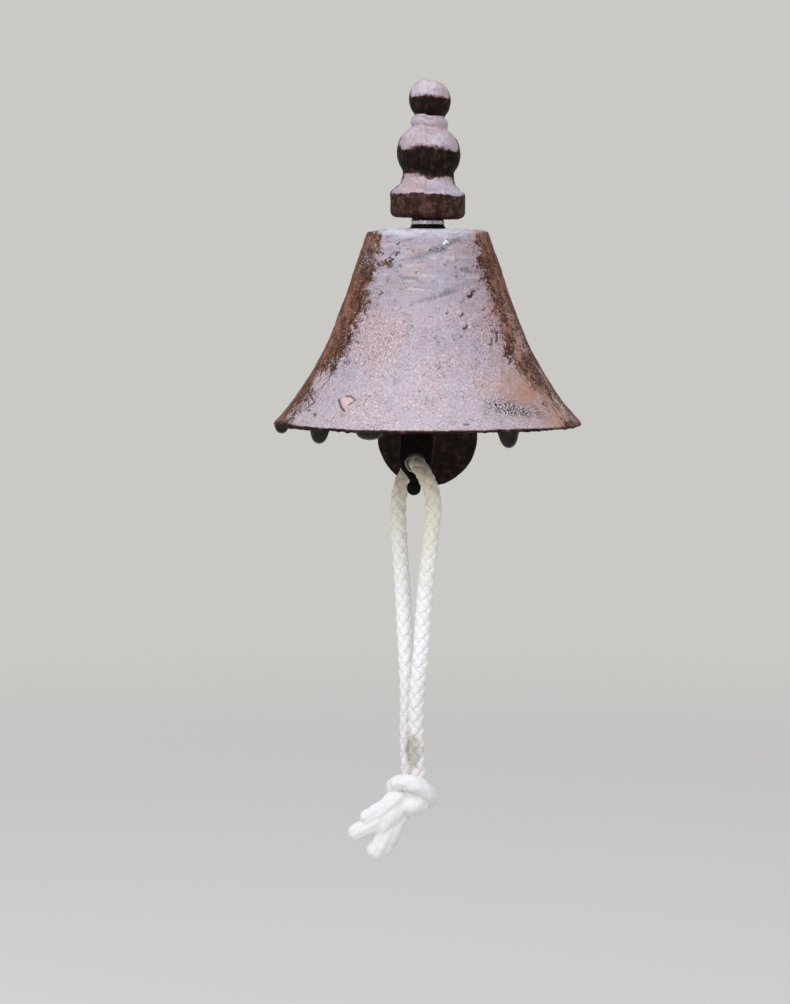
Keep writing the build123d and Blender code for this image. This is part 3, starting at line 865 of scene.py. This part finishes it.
# A painted highlight: short streaks of glint high on the front
GLINT = [(13.6, 64.6), (16.4, 65.3), (18.2, 65.1)]
GLINT_WIDTH = 0.55
# Angle and its reach, height and its reach, and strength of each small pocked spot
POCKS = [(31, 8, 9.5, 2.2, 0.55), (9.5, 7, 62.7, 0.9, 0.9), (-63, 10, 59, 4, 0.9)]
MARK_DEPTH = 0.22
CHIP_HEIGHT = 0.3
GRAIN_SIZE = 0.0011
GRAIN_SEED = 3
RAGGED_LUMPS = [(0.0016, 5, 0.36), (0.005, 6, 0.3)]
RAGGED_STRETCH = (1, 1, 0.3)


def radius_at(height):
    """Radius of the bell's outside at a height."""
    radii, heights = np.array(OUTER_FLARE[::-1]).T
    return np.interp(height, heights, radii)


def on_bell(angle, height):
    """Point on the bell's outside, in metres from the middle of its mouth."""
    turn = math.radians(angle)
    radius = radius_at(height)
    return np.array((radius * math.sin(turn), -radius * math.cos(turn), height)) * MM


def distance_to_line(points, line):
    """How far each point is from the line, and how far along it the nearest spot is, from 0 to 1."""
    nearest = np.full(len(points), 1.0)
    along = np.zeros(len(points))
    for k, (a, b) in enumerate(zip(line, line[1:])):
        run = b - a
        t = np.clip(((points - a) @ run) / (run @ run), 0, 1)
        gap = np.linalg.norm(points - (a + t[:, None] * run), axis=1)
        closer = gap < nearest
        nearest[closer] = gap[closer]
        along[closer] = (k + t[closer]) / (len(line) - 1)
    return nearest, along


def drawn_line(points, line, width, power=2):
    """How near each point is to a line on the bell, from 1 on it to 0."""
    gap = distance_to_line(points, [on_bell(*spot) for spot in line])[0]
    return near(gap, 0, width * MM, power)


def fold_relief(points):
    """Height of the folds at each point, and their painted light and shade: highlight on the crests, shade in
    the valleys.
    """
    rise = np.zeros(len(points))
    light_and_shade = np.zeros(len(points))
    for line, width, height, strength in FOLDS:
        route = [on_bell(*spot) for spot in line]
        crest = [spot + np.array((0, 0, 1.7 * width * MM)) for spot in route]
        gap, along = distance_to_line(points, route)
        above = distance_to_line(points, crest)[0]
        taper = np.clip(np.minimum(along, 1 - along) * 5, 0, 1)
        valley = near(gap, 0, width * MM) * taper
        ridge = near(above, 0, 1.25 * width * MM) * taper
        rise += height * (ridge - 0.8 * valley)
        # Painted highlight on the crest and painted shade in the valley
        light_and_shade += strength * (0.75 * ridge - 1.15 * valley)
    return rise, light_and_shade


def blister_relief(points):
    """Height of the blisters at each point, a painted highlight on each top, and a painted shadow in a
    crescent under each.
    """
    rise = np.zeros(len(points))
    light_and_shade = np.zeros(len(points))
    crescent = np.zeros(len(points))
    for angle, height, radius, bulge in BLISTERS:
        turn = math.radians(angle)
        away = (points - on_bell(angle, height)) / (radius * MM)
        gap = np.linalg.norm(away, axis=1)
        rise += bulge * (near(gap, 0, 1, 4) - 0.5 * near(gap, 1.35, 0.3))
        below_right = np.array((0.62 * math.cos(turn), 0.62 * math.sin(turn), -0.78))
        below = away @ below_right / np.maximum(gap, TINY)
        # Painted shadow in a crescent under the blister's lower side
        crescent = np.maximum(crescent, near(gap, 1.15, 0.4) * np.clip(below * 2.2 - 0.4, 0, 1))
        # Painted highlight on the blister's top
        light_and_shade += 0.5 * near(gap, 0, 0.8, 4)
    return rise, light_and_shade, crescent


def pocked(angles, heights):
    """Where the lacquer is pocked: a slanting patch low on the right, and three small spots."""
    slope = heights - 7.7 + 0.06 * (angles - 28)
    share = near(angles, 39, 13, 4) * near(slope, 0, 2.3)
    for angle, reach, height, rise, strength in POCKS:
        share += strength * near(angles, angle, reach) * near(heights, height, rise)
    return share


def bell_sheen(angles, heights, even, uneven):
    """How much painted sky sheen the bell carries, from its normals before and after it was marked."""
    share = 0.82 * sky_share(even) + 0.18 * sky_share(uneven)
    share += 0.07 * ramp(heights, 30, 50) - 0.1 * near(angles, -60, 12) * (heights > 25)
    right_flank = (0.2 - 0.1 * ramp(heights, 24, 32)) * ramp(heights, 12, 20)
    share -= right_flank * near(angles, 58, 13)
    share -= 0.07 * near(angles, -52, 8) * (heights > 36)
    return np.maximum(share, 0.4 * near(angles, 62, 24, 4) * ramp(heights, 60, 40))


def marked_bell(mesh):
    """Folds, blisters, marks and a ragged rim on the bell's outside, in its shape and on its points, with
    painted light and shade for folds and blisters, painted crescent shadows under blisters and the painted
    sky sheen.
    """
    points = read_points(mesh)
    normals = read_normals(mesh)
    x, y, heights = (points / MM).T
    radii = np.hypot(x, y)
    angles = np.degrees(np.arctan2(x, -y))
    crown = heights > CROWN_TOP
    outside = (radii > radius_at(heights) - SKIN_DEPTH) | (crown & (radii > NECK_RADIUS))

    rise, relief_highlight_and_shade = fold_relief(points)
    bulge, light_and_shade, scratches_and_shadows = blister_relief(points)
    rise += bulge
    # Painted light and shade of the folds and the blisters together
    relief_highlight_and_shade += light_and_shade
    for line, width in MARKS:
        scratch = drawn_line(points, line, width)
        scratches_and_shadows = np.maximum(scratches_and_shadows, scratch)
        rise -= MARK_DEPTH * scratch
    chip = drawn_line(points, CHIP, CHIP_WIDTH, 4)
    rise += CHIP_HEIGHT * chip
    pock = pocked(angles, heights)
    coarseness = 0.06 + 0.08 * ramp(heights, 7, 2) + 0.08 * np.clip(pock, 0, 1)
    rise += lumps(points, GRAIN_SIZE, GRAIN_SEED) * coarseness
    moved = points + normals * (rise * outside * MM)[:, None]
    ragged = mixed_lumps(points * RAGGED_STRETCH, RAGGED_LUMPS) * ramp(heights, RAGGED_HEIGHT, 0)
    moved[:, 2] += ragged * (radii > RAGGED_RADIUS) * MM
    write_points(mesh, moved)

    tan = near(angles, 50, 18) * near(heights, 13.5, 7.0)
    tan = np.maximum(tan, 0.95 * near(angles, 60, 13))
    glint = drawn_line(points, GLINT, GLINT_WIDTH)
    sky_sheen = bell_sheen(angles, heights, normals, read_normals(mesh))
    # Inside, the stored amount is below zero, lower still where faces turn down, for the painted shade in the
    # bell
    store(mesh, "sky_sheen", np.where(outside, sky_sheen, -0.2 - 0.3 * (sky_sheen < 0)))
    layers = {"relief_highlight_and_shade": relief_highlight_and_shade, "scratches_and_shadows": scratches_and_shadows, "chip": chip, "pock": pock, "tan": tan, "glint": glint}
    for name, values in layers.items():
        store(mesh, name, values * outside)
    thick = 1.0 + 2.4 * near(angles, -70, 13) + 0.8 * near(angles, -42, 16)
    lip = np.clip(1.1 - heights / thick, 0, 1) * (radii > LIP_RADIUS)
    store(mesh, "lip", np.maximum(lip, crown & (radii < NECK_RADIUS)))


# Drips: angle in degrees, and half width and length in millimetres
DRIPS = [(-77.5, 2.9, 2.4), (-44.7, 3.4, 4.5), (-21.4, 4.6, 2.6), (31.2, 3.5, 5.5)]
DRIP_RINGS = 22
DRIP_SIDES = 28
DRIP_ROOT = 0.5
DRIP_RADIUS = 53.1
DRIP_LEAN = 0.35
DRIP_FORWARD = 0.9
DRIP_FLATNESS = 0.8


def add_drips(material):
    """Hardened drips under the rim, each a hanging drop with its top in the casting."""
    vertices = []
    faces = []
    for number, (angle, half_width, length) in enumerate(DRIPS):
        turn = math.radians(angle)
        outward = Vector((math.sin(turn), -math.cos(turn), 0))
        sideways = Vector((math.cos(turn), math.sin(turn), 0))
        root = in_frame(0, 0, DRIP_ROOT) + outward * DRIP_RADIUS * MM
        faces += tube_faces(len(vertices), DRIP_RINGS, DRIP_SIDES)
        for ring in range(DRIP_RINGS):
            share = ring / (DRIP_RINGS - 1)
            drop = (length + DRIP_ROOT) * share
            width = half_width * math.sqrt(max(0.0, 1 - share ** 2.5)) * (1 + 0.2 * (1 - share) ** 4)
            lean = DRIP_LEAN * math.sin(number * 2.1 + share)
            forward = DRIP_FORWARD * math.sin(0.75 * math.pi * share)
            centre = root + (sideways * lean - Vector((0, forward, drop))) * MM
            thick = outward * DRIP_FLATNESS * width * MM
            vertices += ring_of(centre, sideways * width * MM, thick, DRIP_SIDES)
    mesh = bpy.data.meshes.new("rim_drips")
    mesh.from_pydata(vertices, [], faces)
    turned_outward(mesh)
    smooth_faces(mesh)
    mesh.materials.append(material)
    piece = new_object("rim_drips", mesh)
    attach(piece, "fixed")


def build_bell(material, drip_material):
    points, rough = bell_section_points()
    mesh = bpy.data.meshes.new("bell_casting")
    count = len(points)
    edges = [(k, (k + 1) % count) for k in range(count)]
    mesh.from_pydata([(r * MM, 0, z * MM) for r, z in points], edges, [])
    store(mesh, "rough", rough)
    piece = new_object("bell_casting", mesh)
    mesh = run_tree(piece, casting_tree(), {**BELL_SURFACE, "Material": material})
    turned_outward(mesh)
    marked_bell(mesh)
    write_points(mesh, read_points(mesh) + np.array((0, AXIS_Y, RIM_Z)))
    smooth_faces(mesh)
    add_drips(drip_material)
    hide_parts("bell")
    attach(piece, "fixed")


# Castings made from a node's own shape
SCREW_HEIGHTS = (-0.022, 0.022)
SCREW_HOLE_REACH = 0.0058
NO_SHEEN = -0.1
COLLAR_REACH = 0.0033
SAND_LUMPS = [(0.006, 11, 1.3), (0.0022, 12, 0.9), (0.0011, 13, 0.45)]
FLAT_BACK = (0.0004, 0.0014)
SEAM_X = -0.0012
SEAM_LEAN = math.tan(math.radians(1.3))
SEAM_FOOT = 74
STAIN_TOP = 84
STAIN_MIDDLE = -0.0002
STAIN_REACH = 0.0008
FIN_HEIGHT = 0.00022
FIN_WIDTH = 0.00045
STEP_HEIGHT = 0.00032
STEP_WIDTH = 0.0004
STEP_FOOT = 72
FIN_BACK = AXIS_Y + 0.001
STEP_BACK = AXIS_Y + 0.012


def casting_sheen(points, facing):
    """How much painted sky sheen a casting carries: on tops and rising flanks, none in the screw holes, more
    in a band at the collar.
    """
    share = sky_share(facing)
    sideways = np.abs(facing[:, 0]) / np.maximum(np.hypot(facing[:, 0], facing[:, 1]), TINY)
    rising = ramp(facing[:, 2], 0, 0.06) * ramp(facing[:, 2], 0.8, 0.6)
    share += rising * (0.62 * sideways ** 2 - 3.2 * np.clip(sideways - 0.82, 0, 1))
    for level in SCREW_HEIGHTS:
        share[np.hypot(points[:, 0], points[:, 2] - level) < SCREW_HOLE_REACH] = NO_SHEEN
    # A band of extra painted sheen at the collar lightens the groove under it as painted light
    return share + near(points[:, 2], COLLAR_Z, COLLAR_REACH, 4)


def cast_copy(node, name, voxel, height, body, material, shape=None):
    """Finely meshed copy of a node, with the lumps of a sand casting."""
    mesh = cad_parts[node].data.copy()
    mesh.name = name
    mesh.materials.clear()
    piece = new_object(name, mesh)
    weld = piece.modifiers.new("weld", "WELD")
    weld.merge_threshold = MERGE_GAP
    fine = remeshed(piece, voxel, 0.5, 2)
    points = read_points(fine)
    normals = read_normals(fine)
    rise = mixed_lumps(points, SAND_LUMPS) * ramp(-points[:, 1], *FLAT_BACK)
    moved = points + normals * (rise * height)[:, None]
    if shape:
        moved = shape(moved, points, normals)
    write_points(fine, moved)
    store(fine, "sky_sheen", casting_sheen(points, 0.6 * normals + 0.4 * read_normals(fine)))
    smooth_faces(fine)
    fine.materials.clear()
    fine.materials.append(material)
    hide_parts(node)
    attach(piece, body)
    return piece


def seam_gap(points):
    """How far right of the mould's parting line each point lies, which leans with the finial."""
    heights = (points[:, 2] - RIM_Z) / MM
    return points[:, 0] - SEAM_X - np.maximum(heights - BOSS_TOP, 0) * SEAM_LEAN * MM, heights


def seam_stain(piece):
    """Reddish streak down the parting line on the boss's front."""
    points = read_points(piece.data)
    gap, heights = seam_gap(points)
    front = (points[:, 1] < AXIS_Y) & (heights > SEAM_FOOT) & (heights < STAIN_TOP)
    store(piece.data, "seam", near(gap, STAIN_MIDDLE, STAIN_REACH) * front)


def mould_seam(moved, points, normals):
    """Parting line up the front of the boss and finial: a low fin, and the left half a little higher."""
    gap, heights = seam_gap(points)
    fin = (points[:, 1] < FIN_BACK) & (heights > SEAM_FOOT)
    step = (points[:, 1] < STEP_BACK) & (heights > STEP_FOOT)
    moved = moved + normals * (near(gap, 0, FIN_WIDTH) * FIN_HEIGHT * fin)[:, None]
    moved[:, 2] += np.clip(-gap / STEP_WIDTH, -1, 1) * STEP_HEIGHT * step
    return moved


# Cord
CORD_ROUTE = [
    (-6.3, 2.9, -130.5), (-7.3, 3.0, -113.0), (-6.9, 3.1, -98.5), (-7.9, 4.3, -80.5), (-9.0, 6.0, -60.0),
    (-10.4, 7.8, -40.0), (-10.9, 9.3, -25.0), (-5.5, 9.0, -13.6), (-2.9, -9.0, -13.6), (2.6, -9.3, -24.5),
    (1.6, -8.0, -38.0), (-1.0, -6.0, -60.0), (-2.1, -4.4, -81.0), (-4.0, -3.1, -98.5), (-3.9, -3.0, -113.0),
    (-3.2, -2.8, -130.5),
]
CORD_STEP = 0.0006
ROUTE_FINENESS = 32
PLAIT_PITCH = 0.0200
PLAIT_RADIUS = 0.00188
PLAIT_WEAVE = 0.00028
STRANDS_EACH_WAY = 4
STRAND_HALF_WIDTH = 0.00148
STRAND_HALF_THICKNESS = 0.0009
STRAND_SIDES = 10
CORE_RADIUS = 0.0015
CORE_SIDES = 5
CORE_STRIDE = 5


def smooth_route(name, points):
    """Points along the NURBS spline that the route's points control."""
    data = bpy.data.curves.new(name, "CURVE")
    data.dimensions = "3D"
    spline = data.splines.new("NURBS")
    spline.points.add(len(points) - 1)
    for control, point in zip(spline.points, points):
        control.co = (*point, 1.0)
    spline.order_u = 3
    spline.use_endpoint_u = True
    spline.resolution_u = ROUTE_FINENESS
    data.resolution_u = ROUTE_FINENESS
    holder = new_object(name, data)
    mesh = evaluated_mesh(holder)
    line = read_points(mesh)
    bpy.data.objects.remove(holder)
    bpy.data.meshes.remove(mesh)
    return line


def spaced(line, step):
    """The same line with its points an even step apart, and how far along it each one is."""
    runs = np.linalg.norm(np.diff(line, axis=0), axis=1)
    along = np.concatenate(([0.0], np.cumsum(runs)))
    where = np.linspace(0, along[-1], int(along[-1] / step) + 1)
    return np.stack([np.interp(where, along, line[:, k]) for k in range(3)], axis=1), where


def carried_sides(line):
    """Two side vectors at each point, carried along the line without twist."""
    directions = np.gradient(line, axis=0)
    directions /= np.linalg.norm(directions, axis=1)[:, None]
    side = np.cross(directions[0], (0.0, 1.0, 0.3))
    side /= np.linalg.norm(side)
    sides = []
    for direction in directions:
        side = side - direction * np.dot(side, direction)
        side /= np.linalg.norm(side)
        sides.append(side)
    sides = np.array(sides)
    return sides, np.cross(directions, sides)


def plait(line, where):
    """Vertices, faces and face corners' UVs of eight strands plaited over and under along the line."""
    across, up = carried_sides(line)
    vertices = []
    faces = []
    uvs = []
    u_step = 1 / STRAND_SIDES
    for lay in (1, -1):
        for strand in range(STRANDS_EACH_WAY):
            turn = 2 * math.pi * (strand / STRANDS_EACH_WAY + lay * where / PLAIT_PITCH)
            reach = PLAIT_RADIUS + lay * PLAIT_WEAVE * np.cos(8 * math.pi * where / PLAIT_PITCH)
            outward = across * np.cos(turn)[:, None] + up * np.sin(turn)[:, None]
            centre = line + outward * reach[:, None]
            forward = np.gradient(centre, axis=0)
            forward /= np.linalg.norm(forward, axis=1)[:, None]
            wide = np.cross(forward, outward)
            wide /= np.linalg.norm(wide, axis=1)[:, None]
            faces += tube_faces(len(vertices), len(line), STRAND_SIDES)
            for k in range(len(line)):
                vertices += ring_of(centre[k], wide[k] * STRAND_HALF_WIDTH,
                                    outward[k] * STRAND_HALF_THICKNESS, STRAND_SIDES)
            for start, end in zip(where, where[1:]):
                for u in np.arange(STRAND_SIDES) * u_step:
                    uvs += [(u, start), (u + u_step, start), (u + u_step, end), (u, end)]
            uvs += [(0.5, 0.0)] * (2 * STRAND_SIDES)
    stops = list(range(0, len(line) - 1, CORE_STRIDE)) + [len(line) - 1]
    faces += tube_faces(len(vertices), len(stops), CORE_SIDES)
    for k in stops:
        vertices += ring_of(line[k], across[k] * CORE_RADIUS, up[k] * CORE_RADIUS, CORE_SIDES)
    for k in stops[:-1]:
        uvs += [(0.5, where[k])] * (4 * CORE_SIDES)
    uvs += [(0.5, 0.0)] * (2 * CORE_SIDES)
    return vertices, faces, uvs


def build_cord(material, with_pieces):
    route = [in_frame(*point) for point in CORD_ROUTE]
    line, where = spaced(smooth_route("cord_line", route), CORD_STEP)
    vertices, faces, uvs = plait(line, where)
    mesh = bpy.data.meshes.new("plaited_cord")
    mesh.from_pydata(vertices, [], faces)
    layer = mesh.uv_layers.new(name="along_strand")
    layer.data.foreach_set("uv", np.array(uvs, dtype=np.float32).ravel())
    smooth_faces(mesh)
    mesh.materials.append(material)
    piece = new_object("plaited_cord", mesh)
    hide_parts("pull_cord")
    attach(piece, "cord")


# Knot: a wrap round both strands, a strand tucked under it, a heart that fills it, and the soft unlaid ends
# in lobes. Routes are in millimetres as the cord's is, and each has its radii from start to end.
KNOT_WRAP = [
    (-12.3, -0.6, -131.6), (-9.8, -4.6, -129.2), (-5.3, -6.6, -129.0), (-1.4, -6.0, -131.0),
    (1.0, -3.0, -134.4), (1.0, 1.2, -137.4), (-1.9, 4.6, -137.0), (-7.4, 5.8, -134.6), (-11.2, 3.6, -132.6),
]
WRAP_RADII = [3.0, 3.0]
KNOT_HEART = [(-5.6, 0.6, -129.4), (-5.8, -1.0, -132.0), (-5.4, -1.8, -134.6), (-5.0, -1.6, -137.2)]
HEART_RADII = [3.6, 4.4, 4.5, 4.2]
KNOT_TUCK = [
    (0.2, -2.6, -137.8), (-2.6, -3.0, -137.0), (-4.6, -3.0, -137.2), (-6.6, -1.6, -138.0),
    (-8.0, 1.5, -137.0),
]
TUCK_RADII = [2.2, 4.0, 4.6, 4.2, 3.2]
LOBES = [
    ([(-8.5, -1.8, -133.6), (-11.5, -2.4, -136.2), (-15.0, -2.8, -139.0), (-19.0, -2.4, -141.3),
      (-24.0, -2.0, -143.8)], [3.7, 3.7, 3.5, 3.1, 2.7]),
    ([(-8.0, -0.8, -135.4), (-11.6, -1.4, -139.4), (-16.0, -1.5, -143.2), (-21.6, -1.2, -146.4),
      (-28.6, -0.6, -149.6)], [4.2, 4.4, 4.2, 3.4, 2.6]),
    ([(-8.0, 0.4, -136.4), (-10.4, -0.2, -141.0), (-12.8, -0.6, -146.4), (-15.6, -0.4, -151.6),
      (-20.0, 0.4, -158.4)], [4.0, 4.3, 4.6, 4.5, 3.7]),
    ([(-9.0, -0.6, -135.0), (-11.6, -1.2, -139.4), (-14.0, -1.6, -143.0), (-16.0, -1.4, -146.2),
      (-17.6, -1.2, -149.4)], [4.2, 4.8, 4.9, 4.3, 3.2]),
]
SOFT_STEP = 0.0005
SOFT_SIDES = 20
SOFT_VOXEL = 0.0003
YARNS_IN_LOBE = 8
YARN_TWIST = 140
YARN_RELIEF = 0.2
PLAIT_RELIEF = 0.18
SOFT_LUMPS = [(0.003, 31, 0.28), (0.0008, 32, 0.07)]


def soft_mass(name, tubes):
    """Tubes of soft cord run together into one piece, with the lines that they follow."""
    vertices = []
    faces = []
    lines = []
    for centre, radii, domed in tubes:
        line, where = spaced(smooth_route("soft_line", [in_frame(*point) for point in centre]), SOFT_STEP)
        girth = np.interp(where / where[-1], np.linspace(0, 1, len(radii)), radii) * MM
        lines.append((line, girth, where))
        if domed:
            tip = 0.85 * girth[-1]
            left = np.clip((where[-1] - where) / tip, 0, 1)
            girth = girth * np.sqrt(np.clip(1 - (1 - left) ** 2, 0.02, 1))
        across, up = carried_sides(line)
        faces += tube_faces(len(vertices), len(line), SOFT_SIDES)
        for k, radius in enumerate(girth):
            vertices += ring_of(line[k], across[k] * radius, up[k] * radius, SOFT_SIDES)
    mesh = bpy.data.meshes.new(name)
    mesh.from_pydata(vertices, [], faces)
    piece = new_object(name, mesh)
    remeshed(piece, SOFT_VOXEL, 0.6, 12)
    return piece, lines


def soften(piece, lines, pattern, weight):
    """Relief of the yarns along the nearest line, and soft unevenness."""
    mesh = piece.data
    points = read_points(mesh)
    normals = read_normals(mesh)
    depth = np.full(len(points), 9.0)
    relief = np.zeros(len(points))
    for number, (line, girth, where) in enumerate(lines):
        across, up = carried_sides(line)
        gaps = np.linalg.norm(points[:, None, :] - line[None, ::2, :], axis=2)
        nearest = gaps.argmin(axis=1) * 2
        within = gaps.min(axis=1) / girth[nearest]
        away = points - line[nearest]
        turn = np.arctan2((away * up[nearest]).sum(axis=1), (away * across[nearest]).sum(axis=1))
        wave = pattern(turn, where[nearest], number)
        closer = within < depth
        depth[closer] = within[closer]
        relief[closer] = wave[closer]
    rise = weight * relief + mixed_lumps(points, SOFT_LUMPS)
    write_points(mesh, points + normals * rise[:, None] * MM)
    smooth_faces(mesh)


def yarn_ridges(turn, along, number):
    """Lengthwise ridges of unlaid yarn that turn slowly round a lobe."""
    return np.abs(np.sin(0.5 * YARNS_IN_LOBE * turn + YARN_TWIST * along + number)) - 0.6


def plait_ridges(turn, along, _):
    """Over and under of the plaited strands, pressed flat in the knot."""
    return np.cos(4 * turn) * np.cos(8 * math.pi * along / PLAIT_PITCH)


def build_knot(material):
    wrap = [*KNOT_WRAP, *KNOT_WRAP[:2]]
    tied, lines = soft_mass("tied_knot", [
        (wrap, WRAP_RADII, False), (KNOT_TUCK, TUCK_RADII, True), (KNOT_HEART, HEART_RADII, True),
    ])
    soften(tied, lines, plait_ridges, PLAIT_RELIEF)
    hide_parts("cord_knot")
    ends, lines = soft_mass("knot_ends", [(centre, radii, True) for centre, radii in LOBES])
    soften(ends, lines, yarn_ridges, YARN_RELIEF)
    for piece in (tied, ends):
        piece.data.materials.append(material)
        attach(piece, "cord")
    return [tied, ends]


def paint(node, material):
    """Node's own mesh with a finished material."""
    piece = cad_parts[node]
    if not piece.data.materials:
        piece.data.materials.append(material)
    for slot in piece.material_slots:
        slot.material = material


bpy.context.scene.view_settings.view_transform = "Standard"
set_camera()
set_backdrop()
add_floor()
light_studio()

bell_iron = bell_finish()
bracket_iron = bracket_finish()
zinc = dull_steel()
cord_cotton = cotton("cord_cotton_stained_shaded", plaited=True)
knot_cotton = cotton("knot_cotton", plaited=False)

build_bell(bell_iron, dark_lacquer())
bracket = cast_copy("wall_bracket", "bracket_casting", 0.0006, 0.00012, "fixed",
                    bracket_iron, mould_seam)
seam_stain(bracket)
cast_copy("clapper", "clapper_casting", 0.0005, 0.00007, "clapper", black_iron())
for steel_node in ("crown_washer", "inner_washer", "hex_nut", "eye_bolt", "hanging_link"):
    paint(steel_node, zinc)

build_cord(cord_cotton, build_knot(knot_cotton))
